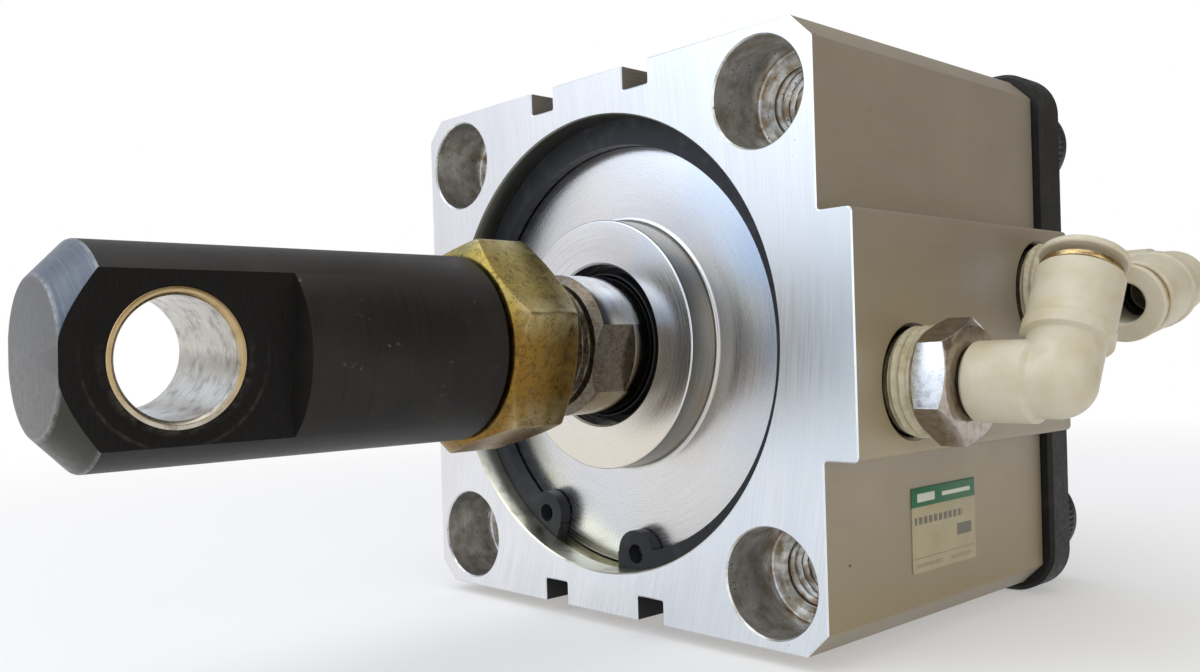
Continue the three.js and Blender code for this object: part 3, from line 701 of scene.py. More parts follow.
@material
def oxide_tip():
    """The chamfered tip, rubbed to a blue grey."""
    g = Mat("oxide_tip", Metallic=0.9)
    r, a, s = g.polar()
    lathe = g.noise(g.combine(g.math("MULTIPLY", r, 5.0), g.math("MULTIPLY", a, 1.0), g.math("MULTIPLY", s, 5.0)), 1.0, 4, 0.65)
    f = g.noise(scale=1.0, detail=5)
    col = g.ramp(lathe, [(0.3, (0.075, 0.085, 0.102)), (0.7, (0.128, 0.145, 0.175))])
    x, y, z = g.xyz()
    # Painted shade: the lower part of the tip is darker.
    col = g.mix(g.math("MULTIPLY", g.step(z, 4.0, -6.0), 0.9), col, (0.048, 0.047, 0.034))
    col = g.mix(g.math("MULTIPLY", g.step(r, 10.5, 10.2), 0.75), col, (0.165, 0.163, 0.160))
    # Painted highlight: lighter lines along the chamfer's inner and outer edges.
    edge = g.math("MAXIMUM", g.step(g.math("ABSOLUTE", g.math("SUBTRACT", r, 10.3)), 0.45, 0.1), g.step(g.math("ABSOLUTE", g.math("SUBTRACT", r, 15.0)), 0.35, 0.05))
    edge = g.math("MULTIPLY", edge, g.step(f, 0.40, 0.55, 0.3, 1.0))
    col = g.mix(g.math("MULTIPLY", edge, 0.45), col, (0.36, 0.37, 0.37))
    g.set("Base Color", col)
    g.set("Roughness", g.step(f, 0.25, 0.8, 0.30, 0.46))
    g.set("Normal", g.bump(lathe, 0.00003, 0.35))
    return g


@material
def bush_steel():
    g = Mat("bush_steel", Metallic=1.0)
    r, a, s = g.polar(0.0, 0.0, "X", -81.5)
    hone = g.noise(g.combine(g.math("MULTIPLY", s, 4.0), g.math("MULTIPLY", a, 3.0), 0.0), 1.0, 4, 0.6)
    f = g.noise(scale=0.45, detail=5)
    col = g.ramp(hone, [(0.3, (0.40, 0.385, 0.34)), (0.7, (0.62, 0.60, 0.55))])
    col = g.mix(g.step(f, 0.50, 0.68, 0.0, 0.8), col, (0.26, 0.24, 0.215))
    rim = g.step(g.math("ABSOLUTE", s), 9.3, 9.75)
    col = g.mix(g.math("MULTIPLY", rim, 0.8), col, (0.52, 0.36, 0.15))
    g.set("Base Color", col)
    g.set("Roughness", g.step(f, 0.3, 0.8, 0.18, 0.38))
    g.set("Normal", g.bump(hone, 0.00002, 0.3))
    return g


@material
def ivory():
    """Moulded resin, yellowed with age."""
    g = Mat("ivory", Metallic=0.0, Subsurface_Weight=0.12, Subsurface_Scale=0.002)
    f = g.noise(scale=0.16, detail=4)
    fine = g.noise(scale=2.6, detail=4)
    col = g.ramp(f, [(0.3, (0.470, 0.412, 0.270)), (0.55, (0.545, 0.505, 0.390)), (0.75, (0.480, 0.422, 0.265))])
    col = g.mix(g.step(fine, 0.62, 0.80, 0.0, 0.35), col, (0.44, 0.39, 0.25))
    mark = g.math("MULTIPLY", g.step(g.cells(g.vec((0.35, 0.35, 0.35)), 1.0), 0.06, 0.03), g.step(g.noise(scale=0.2), 0.5, 0.6))
    col = g.mix(mark, col, (0.22, 0.17, 0.10))
    g.set("Base Color", col)
    g.set("Roughness", g.step(fine, 0.2, 0.8, 0.34, 0.46))
    g.set("Normal", g.bump(fine, 0.00002, 0.25))
    return g


@material
def nickel():
    g = Mat("nickel", Metallic=1.0)
    f = g.noise(scale=0.8, detail=5)
    s = g.noise(g.vec((6.0, 0.5, 0.5)), 1.0, 4, 0.6)
    col = g.ramp(f, [(0.3, (0.30, 0.25, 0.20)), (0.6, (0.46, 0.41, 0.355)), (0.8, (0.37, 0.28, 0.195))])
    col = g.mix(g.step(s, 0.55, 0.8, 0.0, 0.4), col, (0.62, 0.62, 0.62))
    g.set("Base Color", col)
    g.set("Roughness", g.step(f, 0.25, 0.8, 0.14, 0.32))
    g.set("Normal", g.bump(s, 0.00002, 0.3))
    return g


@material
def nickel_painted_highlight():
    """The hexagon facets facing the front, given a brighter bluish colour as a painted highlight."""
    g = Mat("nickel_painted_highlight", Metallic=1.0)
    f = g.noise(scale=0.9, detail=5)
    s = g.noise(g.vec((0.5, 0.5, 7.0)), 1.0, 4, 0.6)
    col = g.ramp(f, [(0.30, (0.62, 0.66, 0.72)), (0.62, (0.82, 0.87, 0.95)), (0.80, (0.60, 0.57, 0.54))])
    col = g.mix(g.step(s, 0.55, 0.8, 0.0, 0.5), col, (0.92, 0.95, 1.0))
    g.set("Base Color", col)
    g.set("Roughness", g.step(f, 0.25, 0.8, 0.20, 0.36))
    g.set("Normal", g.bump(s, 0.00002, 0.3))
    return g


@material
def sealant():
    g = Mat("sealant", Metallic=0.0)
    f = g.noise(scale=0.7, detail=5)
    fine = g.noise(scale=3.5, detail=4)
    col = g.ramp(f, [(0.3, (0.37, 0.31, 0.165)), (0.6, (0.49, 0.455, 0.335)), (0.8, (0.40, 0.32, 0.155))])
    col = g.mix(g.step(fine, 0.58, 0.78, 0.0, 0.7), col, (0.35, 0.26, 0.11))
    g.set("Base Color", col)
    g.set("Roughness", g.step(fine, 0.2, 0.8, 0.45, 0.7))
    g.set("Normal", g.bump(fine, 0.00005, 0.5))
    return g


@material
def black_paint():
    g = Mat("black_paint", Metallic=0.0, Specular_IOR_Level=0.25)
    peel = g.noise(scale=0.9, detail=2)
    fine = g.noise(scale=4.5, detail=4)
    dust = g.noise(scale=0.14, detail=4)
    col = g.ramp(fine, [(0.3, (0.004, 0.0041, 0.0037)), (0.75, (0.011, 0.0113, 0.0102))])
    col = g.mix(g.step(dust, 0.50, 0.75, 0.0, 0.4), col, (0.034, 0.033, 0.028))
    g.set("Base Color", col)
    g.set("Roughness", g.step(peel, 0.3, 0.7, 0.40, 0.56))
    g.set("Normal", g.bump(fine, 0.00003, 0.3, g.bump(peel, 0.00012, 0.3)))
    return g


@material
def black_screw():
    g = Mat("black_screw", Metallic=0.6)
    f = g.noise(scale=2.2, detail=5)
    col = g.ramp(f, [(0.3, (0.013, 0.013, 0.014)), (0.75, (0.040, 0.040, 0.043))])
    col = g.mix(g.step(g.noise(scale=0.35, detail=4), 0.58, 0.72, 0.0, 0.5), col, (0.10, 0.07, 0.045))
    g.set("Base Color", col)
    g.set("Roughness", g.step(f, 0.2, 0.8, 0.32, 0.50))
    g.set("Normal", g.bump(f, 0.00003, 0.4))
    return g


@material
def plain_steel():
    return turned_metal("plain_steel", (0.56, 0.56, 0.57), (0.40, 0.40, 0.41), 0.30, 0.3, 4.0)


@material
def bronze():
    return turned_metal("bronze", (0.52, 0.38, 0.18), (0.36, 0.25, 0.11), 0.34, 0.3, 4.0)


@material
def wear_resin():
    g = Mat("wear_resin", Metallic=0.0)
    f = g.noise(scale=2.0, detail=4)
    g.set("Base Color", g.ramp(f, [(0.3, (0.58, 0.54, 0.42)), (0.7, (0.70, 0.66, 0.54))]))
    g.set("Roughness", g.step(f, 0.2, 0.8, 0.4, 0.6))
    return g


@material
def label():
    """A printed film with a green band and plain bars in place of lettering."""
    g = Mat("label", Metallic=0.0, IOR=1.45)
    x, y, z = g.xyz()

    def between(v, a, b, soft=0.06):
        return g.math("MULTIPLY", g.step(v, a - soft, a + soft), g.step(v, b + soft, b - soft))

    def bar(y0, y1, z0, z1, soft=0.06):
        return g.math("MULTIPLY", between(y, y0, y1, soft), between(z, z0, z1, soft))

    grain = g.noise(scale=5.0, detail=4)
    cloud = g.noise(scale=0.2, detail=3)
    col = g.ramp(cloud, [(0.3, (0.37, 0.322, 0.190)), (0.7, (0.43, 0.378, 0.230))])
    col = g.mix(g.step(grain, 0.4, 0.8, 0.0, 0.2), col, (0.35, 0.31, 0.20))
    green = g.step(z, -28.75, -28.6)
    col = g.mix(green, col, (0.012, 0.130, 0.050))
    pale = (0.62, 0.66, 0.55)
    col = g.mix(bar(26.0, 31.6, -27.9, -26.5), col, pale)
    col = g.mix(bar(34.0, 43.6, -27.55, -26.85), col, pale)
    ink = (0.085, 0.08, 0.075)
    row = g.math("MULTIPLY", bar(25.0, 41.0, -31.6, -30.4), g.math("GREATER_THAN", g.math("FRACT", g.math("MULTIPLY", y, 0.62)), 0.30))
    col = g.mix(g.math("MULTIPLY", row, 0.8), col, ink)
    col = g.mix(g.math("MULTIPLY", bar(38.8, 43.8, -34.9, -32.9), 0.85), col, ink)
    col = g.mix(g.math("MULTIPLY", bar(24.8, 44.7, -37.25, -37.12, 0.04), 0.6), col, ink)
    fine = g.math("MULTIPLY", bar(25.2, 33.8, -38.75, -38.1), g.math("GREATER_THAN", g.math("FRACT", g.math("MULTIPLY", y, 1.7)), 0.35))
    col = g.mix(g.math("MULTIPLY", fine, 0.5), col, ink)
    fine = g.math("MULTIPLY", bar(36.5, 43.5, -38.75, -38.1), g.math("GREATER_THAN", g.math("FRACT", g.math("MULTIPLY", y, 1.5)), 0.4))
    col = g.mix(g.math("MULTIPLY", fine, 0.45), col, ink)
    g.set("Base Color", col)
    g.set("Roughness", g.step(grain, 0.2, 0.8, 0.34, 0.5))
    g.set("Normal", g.bump(grain, 0.00002, 0.2))
    return g


def dress(ob, *names):
    ob.data.materials.clear()
    for n in names:
        ob.data.materials.append(MATS[n])


def dress_keep(ob, *names):
    """Gives materials by slot and keeps the slot numbers that the faces hold."""
    idx = [min(p.material_index, len(names) - 1) for p in ob.data.polygons]
    dress(ob, *names)
    ob.data.polygons.foreach_set("material_index", idx)


def pick(ob, rule):
    """Sets each face's material slot by rule(centre mm, normal)."""
    for p in ob.data.polygons:
        c = p.center * 1000
        p.material_index = rule(c.x, c.y - SHIFT, c.z, p.normal)


def piece(ob, body, slot, *nodes):
    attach(ob, body)
    if nodes:
        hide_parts(*nodes)
    return ob


# -------------------------------------------------------------- cylinder body
H, B = 49.0, 55.0
GW, GC, GZ = 3.05, 12.25, 44.7
outline = [
    (-H + 4, -H), (-GC - GW, -H), (-GC - GW, -GZ), (-GC + GW, -GZ), (-GC + GW, -H),
    (GC - GW, -H), (GC - GW, -GZ), (GC + GW, -GZ), (GC + GW, -H), (H - 4, -H), (H, -H + 4),
    (H, -18.8), (B, -18.8), (B, 18.8), (H, 18.8), (H, H - 4), (H - 4, H),
    (GC + GW, H), (GC + GW, GZ), (GC - GW, GZ), (GC - GW, H),
    (-GC + GW, H), (-GC + GW, GZ), (-GC - GW, GZ), (-GC - GW, H), (-H + 4, H), (-H, H - 4), (-H, -H + 4),
]
soft = [0.35, 0.25, 0.35, 0.35, 0.25, 0.25, 0.35, 0.35, 0.25, 0.35, 0.35, 0.5, 0.9, 0.9, 0.5, 0.35, 0.35,
        0.25, 0.35, 0.35, 0.25, 0.25, 0.35, 0.35, 0.25, 0.35, 0.35, 0.35]
body = prism("body", rounded(outline, soft, seg=4), 0.0, 72.0, 0.22)
cutters = [turned("c0", [(0, -2), (43.6, -2), (41.8, -0.1), (41.5, 0.35), (41.5, 4.85), (43.3, 4.85), (43.3, 7.75), (41.5, 7.75),
                        (41.5, 12.5), (40, 12.5), (40, 64), (0, 64)], 192)]
for sx in (-1, 1):
    for sz in (-1, 1):
        prof = [(0, -2), (11.2, -2), (9.05, -0.05), (8.75, 0.3)] + rounded([(8.75, 6), (8.75, 12), (7.0, 12)], 0.5, False, 4)[1:-1] + [
            (6.95, 12), (6.15, 12.8), (6.15, 34.4), (5.15, 35), (5.15, 45.9), (0, 46)]
        cutters.append(turned("c1", prof, 96, at=(38.5 * sx, 0, 38.5 * sz)))
        cutters.append(turned("c3", [(0, 50), (6.1, 50), (6.1, 74), (0, 74)], 64, at=(38.5 * sx, 0, 38.5 * sz)))
for y, z in ((16, -7.5), (60, 7.2)):
    cutters.append(turned("c2", [(0, 45), (8.6, 45), (8.6, 54.4), (10.2, 56), (0, 56)], 96, "X", at=(0, y, z)))
boolean(body, joined("cut", *cutters))
threads = []
for sx in (-1, 1):
    for sz in (-1, 1):
        threads.append(thread("t", 6.02, 5.12, 12.75, 33.8, 1.75, 6.35, 80, 12, (0.9, 0.5), at=(38.5 * sx, 0, 38.5 * sz)))
body_co = len(body.data.polygons)
body = joined("cylinder_body_shell", body, *threads)
shade(body, 30)


def body_rule(x, y, z, n):
    if n.y < -0.98 and abs(y) < 0.02:
        return 1
    r = math.hypot(x, z)
    if r < 43.4:
        return 2
    if math.hypot(abs(x) - 38.5, abs(z) - 38.5) < 9.2:
        return 3
    if abs(abs(x) - GC) < GW + 0.1 and GZ - 0.1 < abs(z) < H - 0.1 and abs(n.y) < 0.5:
        return 4
    if n.y < -0.3 and y < 0.3:
        return 1
    if x > 40 and x < 54.99 and math.hypot(y - 16, z + 7.5) < 8.9:
        return 2
    if x > 40 and x < 54.99 and math.hypot(y - 60, z - 7.2) < 8.9:
        return 2
    return 0


dress(body, "anodised", "face_cut", "mouth_wall", "counterbore", "groove")
pick(body, body_rule)
piece(body, "barrel", "anodised_body", "cylinder_body")

# ------------------------------------------------------- cover, seal, bushings
cover = turned("rod_cover_turned", [
    (14.75, 8.2), (14.75, 1.6), (15.1, 1.25), *rounded([(20, 1.25), (22.8, 1.25), (22.8, 4)], 0.35, False, 4)[1:-1],
    *rounded([(22.8, 4), (22.8, 7.8), (30, 7.8)], 0.9, False, 6)[1:-1],
    *rounded([(30, 7.8), (41.15, 7.8), (41.15, 10)], 0.25, False, 3)[1:-1],
    (41.15, 12.2), (39.6, 12.2), (39.6, 12.7), (37.6, 12.7), (37.6, 14.9), (39.6, 14.9), (39.6, 15.5), (22, 15.5), (22, 24),
    (14.4, 24), (14.4, 9.2), (13.1, 9.2), (13.1, 8.2)], 192, closed=True)
dress(cover, "cover_turned", "nose_wall")
pick(cover, lambda x, y, z, n: 1 if abs(n.y) < 0.5 and 22.0 < math.hypot(x, z) < 23.5 and 1.3 < y < 7.6 else 0)
piece(cover, "barrel", "machined_aluminium", "rod_cover")
ring = [(38.72 + 0.85 * math.cos(a), 13.8 + 0.85 * math.sin(a)) for a in np.linspace(0, 2 * np.pi, 16, False)]
o = turned("cover_o_ring", ring, 128, closed=True)
dress(o, "rubber")
piece(o, "barrel", "nitrile_rubber", "rod_cover_o_ring")
seal = turned("rod_wiper", rounded([
    (12.75, 3.4), (12.80, 2.5), (13.0, 2.3), (13.15, 2.5), (13.2, 6.2), (14.5, 6.4), (14.5, 7.9), (12.75, 7.9)], 0.1, True, 3), 160, closed=True)
dress(seal, "rubber")
piece(seal, "barrel", "nitrile_rubber", "rod_seal")
for name, node, prof, mt, sl, bd in (
    ("rod_bush_sleeve", "rod_bush", [(12.62, 9.5), (14.2, 9.5), (14.2, 23.8), (12.62, 23.8)], "bronze", "bearing_bronze", "barrel"),
    ("front_bumper", "front_cushion", [(15.6, 24.2), (21.4, 24.2), (21.0, 26.0), (16.0, 26.0)], "rubber", "nitrile_rubber", "barrel"),
    ("rear_bumper", "rear_cushion", [(15.0, 62.3), (21.0, 62.3), (21.4, 63.85), (14.6, 63.85)], "rubber", "nitrile_rubber", "barrel"),
    ("piston_turned", "piston", [(8.3, 47), (38.9, 47), (39.6, 47.7), (39.6, 48.2), (38.2, 48.2), (38.2, 51.2), (39.6, 51.2), (39.6, 52.4), (34.6, 52.4),
                                 (34.6, 56.4), (39.6, 56.4), (39.6, 57.4), (36, 57.4), (36, 61.9), (13.4, 61.9), (13.4, 55), (8.3, 55)], "inner_turned", "machined_aluminium", "piston"),
    ("wear_band", "wear_ring", [(38.45, 48.4), (39.75, 48.4), (39.75, 51.0), (38.45, 51.0)], "wear_resin", "wear_resin", "piston"),
    ("piston_packing", "piston_seal", [(34.9, 52.7), (36.5, 52.7), (39.8, 52.9), (39.2, 54.4), (39.8, 55.9), (36.5, 56.1), (34.9, 56.1)], "rubber", "nitrile_rubber", "piston"),
    ("piston_flat_washer", "piston_washer", [(5.6, 55.3), (12.6, 55.3), (12.6, 56.8), (5.6, 56.8)], "plain_steel", "plain_steel", "rod"),
):
    o = turned(name, rounded(prof, 0.15, True, 2), 128, closed=True)
    dress(o, mt)
    piece(o, bd, sl, node)
sc = turned("piston_bolt", [(0, 36), (4.0, 36), (4.6, 36.6), (4.6, 57.1), (8, 57.1), (8, 61.1), (7.5, 61.6), (0, 61.6)], 64)
boolean(sc, prism("h", hexagon(6, 0), 59, 63))
shade(sc)
dress(sc, "black_screw")
piece(sc, "rod", "black_screw", "piston_screw")

# ------------------------------------------------------------- retaining ring
rg = turned("snap", [(0, 5.0), (42.75, 5.0), (42.75, 7.5), (0, 7.5)], 192)
gap = rad(-102.5)
boolean(rg, turned("i", [(0, 4), (37.6, 4), (37.6, 8.5), (0, 8.5)], 192, at=(0.9 * math.cos(gap), 0, 0.9 * math.sin(gap))))
for d in (-121.4, -83.6):
    at = (38.75 * math.cos(rad(d)), 0, 38.75 * math.sin(rad(d)))
    boolean(rg, turned("l", [(0, 5.0), (4.3, 5.0), (4.3, 7.5), (0, 7.5)], 64, at=at), "UNION")
a, b = rad(-90.3), rad(-114.7)
boolean(rg, prism("w", [(0, 0), (60 * math.cos(b), 60 * math.sin(b)), (60 * math.cos(a), 60 * math.sin(a))], 4, 8.5))
for d in (-121.4, -83.6):
    at = (38.75 * math.cos(rad(d)), 0, 38.75 * math.sin(rad(d)))
    boolean(rg, turned("p", [(0, 4), (1.75, 4), (1.75, 8.5), (0, 8.5)], 40, at=at))
boolean(rg, turned("m", [(0, 4), (42.75, 4), (42.75, 8.5), (0, 8.5)], 192), "INTERSECT")
rg.name = "snap_ring"
bevel(rg, 0.22, 3, 40)
shade(rg, 40)
dress(rg, "phosphate")
piece(rg, "barrel", "spring_steel", "retaining_ring")

# ------------------------------------------------------- rod, nut and rod eye
rod = turned("rod", [(0, -10.2), *rounded([(0, -10.2), (11.2, -10.2), (12.5, -8.9), (12.5, -6)], 0.12, False, 3)[1:-1], (12.5, 46.2), (12.0, 46.7), (8, 46.7), (8, 54.8), (5, 54.8), (5, 33), (0, 31)], 192)
for s in (-1, 1):
    boolean(rod, block("f", (11, 30) if s > 0 else (-30, -11), (-12, -1.8), (-20, 20)))
stud = thread("stud", 9.95, 10.85, -56, -10.1, 1.5, 6.0, 112, 12, (1.0, 0.4))
cap = turned("cap", [(0, -56), (9.9, -56), (9.9, -54), (0, -54)], 64)
rod = joined("piston_rod_shaft", rod, stud, cap)
moved(rod, about_y(13.1))
shade(rod, 25)
dress(rod, "chrome", "rod_flat")


def rod_rule(x, y, z, n):
    if y < -8.85:
        return 1
    if y < -1.75 and math.hypot(x, z) < 12.45:
        return 1
    return 0


pick(rod, rod_rule)
piece(rod, "rod", "hard_chrome", "piston_rod")

R = 31.6 / math.sqrt(3)
flat = 31.6 / 2 - 0.5
dy = (R - flat) * math.tan(rad(30))
nut = prism("n", hexagon(31.6, 15.4, 0.7), -31.3, -18.2)
boolean(nut, turned("k", [(0, -31.3), (flat, -31.3), (R + 0.01, -31.3 + dy), (R + 0.01, -18.2 - dy), (flat, -18.2), (0, -18.2)], 192), "INTERSECT")
boolean(nut, turned("q", [(0, -33), (13.2, -33), (11.1, -30.4), (11.1, -19.1), (13.2, -16.5), (0, -16.5)], 128))
nut.name = "lock_nut_hex"
bevel(nut, 0.3, 3, 22, 1)
shade(nut, 25)
dress_keep(nut, "yellow_zinc", "zinc_worn")
piece(nut, "rod", "yellow_zinc", "lock_nut")

eye = turned("e", [(0, -96.1), *rounded([(0, -96.1), (10.3, -96.1), (15, -91.4), (15, -70)], [0, 0.35, 0.35, 0], False, 4)[1:-1],
                   *rounded([(15, -70), (15, -32.1), (14.5, -31.6), (11.1, -31.6)], 0.2, False, 3)[1:-1], (11.1, -31.6), (11.1, -57), (0, -60)], 192)
for s in (-1, 1):
    boolean(eye, block("t", (10, 30) if s > 0 else (-30, -10), (-101, -65.5), (-30, 30)))
boolean(eye, turned("u", [(0, -30), (9.2, -30), (9.2, -9.9), (9.2, 9.9), (9.2, 30), (0, 30)], 128, "X", at=(0, -81.5, 0)))
bevel(eye, 0.28, 3, 30)
eye.name = "rod_eye_end"
moved(eye, about_y(3.5))
shade(eye, 30)
dress(eye, "black_oxide", "oxide_flat", "oxide_tip")
FX = Vector((math.cos(rad(3.5)), 0, -math.sin(rad(3.5))))


def eye_rule(x, y, z, n):
    if abs(n.dot(FX)) > 0.95 and y < -65 and abs(x * FX.x + z * FX.z) < 10.2:
        return 1
    if y < -91.2:
        return 2
    return 0


pick(eye, eye_rule)
piece(eye, "rod", "black_oxide", "rod_eye")
bush = turned("eye_bush", rounded([(8.45, -9.95), (9.15, -9.95), (9.15, 9.95), (8.45, 9.95), (8.0, 9.4), (8.0, -9.4)], 0.12, True, 3), 128, "X", closed=True, at=(0, -81.5, 0))
moved(bush, about_y(3.5))
dress(bush, "bush_steel")
piece(bush, "rod", "bush_steel", "rod_eye_bush")

# --------------------------------------------------- rear plate and its screws
PH, PR = 51.0, 8.5
plate = prism("rear_mount_plate", rounded([(-PH, -PH), (PH, -PH), (PH, PH), (-PH, PH)], PR, seg=24), 72.1, 80.0, 0.7)
holes = []
for sx in (-1, 1):
    for sz in (-1, 1):
        holes.append(turned("h", [(0, 71), (7.2, 71), (6.6, 72.8), (6.6, 79.7), (9.9, 79.7), (10.4, 81.2), (0, 81.2)], 80, at=(38.5 * sx, 0, 38.5 * sz)))
boolean(plate, joined("hh", *holes))
shade(plate, 30)
dress(plate, "black_paint")
piece(plate, "barrel", "black_paint", "rear_plate")
for n, (sx, sz) in enumerate(((1, 1), (1, -1), (-1, -1), (-1, 1)), 1):
    seg = 144
    v, f = revolve([(0, 79.8), (9, 79.8), (9, 80.6), (9, 81.0), (9, 89.3), (9, 89.7), (9, 90.5), *rounded([(9, 90.2), (9, 91.7), (0, 91.7)], 0.8, False, 5)[1:-1], (0, 91.7)], seg)
    rr = np.hypot(v[:, 0], v[:, 2])
    idx = np.repeat(np.arange(seg), len(v) // seg)
    cutd = ((v[:, 1] > 80.8) & (v[:, 1] < 89.5) & (rr > 8.9)) * (idx % 3 == 0) * 0.28
    k = np.where(rr > 0, (rr - cutd) / np.maximum(rr, 1e-9), 1)
    v[:, 0] *= k
    v[:, 2] *= k
    head = to_object("head", v, f, 40)
    boolean(head, prism("s", hexagon(10, 0), 85.7, 93))
    shank = thread("sh", 5.1, 5.85, 53, 72, 1.75, 2.0, 64, 10, (0.8, 0.8))
    neck = turned("nk", [(0, 71.9), (5.85, 71.9), (5.85, 80.2), (0, 80.2)], 64)
    scr = joined(f"plate_screw_{n}", head, shank, neck)
    moved(scr, at=(38.5 * sx, 0, 38.5 * sz))
    shade(scr, 35)
    dress(scr, "black_screw")
    piece(scr, "barrel", "black_screw", f"rear_plate_screw_{n}")

# ----------------------------------------------------------------------- label
lab = rounded([(24.2, -39.6), (45.3, -39.6), (45.3, -25.5), (24.2, -25.5)], 0.35, seg=4)
n = len(lab)
verts = [(49.03, p[0], p[1]) for p in lab] + [(49.14, p[0], p[1]) for p in lab] + [(49.17, 34.75 + (p[0] - 34.75) * 0.993, -32.55 + (p[1] + 32.55) * 0.99) for p in lab]
faces = [[k * n + i, k * n + (i + 1) % n, (k + 1) * n + (i + 1) % n, (k + 1) * n + i] for k in (0, 1) for i in range(n)] + [list(range(n)), list(range(2 * n, 3 * n))]
lb = to_object("label_film_plate", verts, faces)
dress(lb, "label")
piece(lb, "barrel", "label_film", "label_plate")

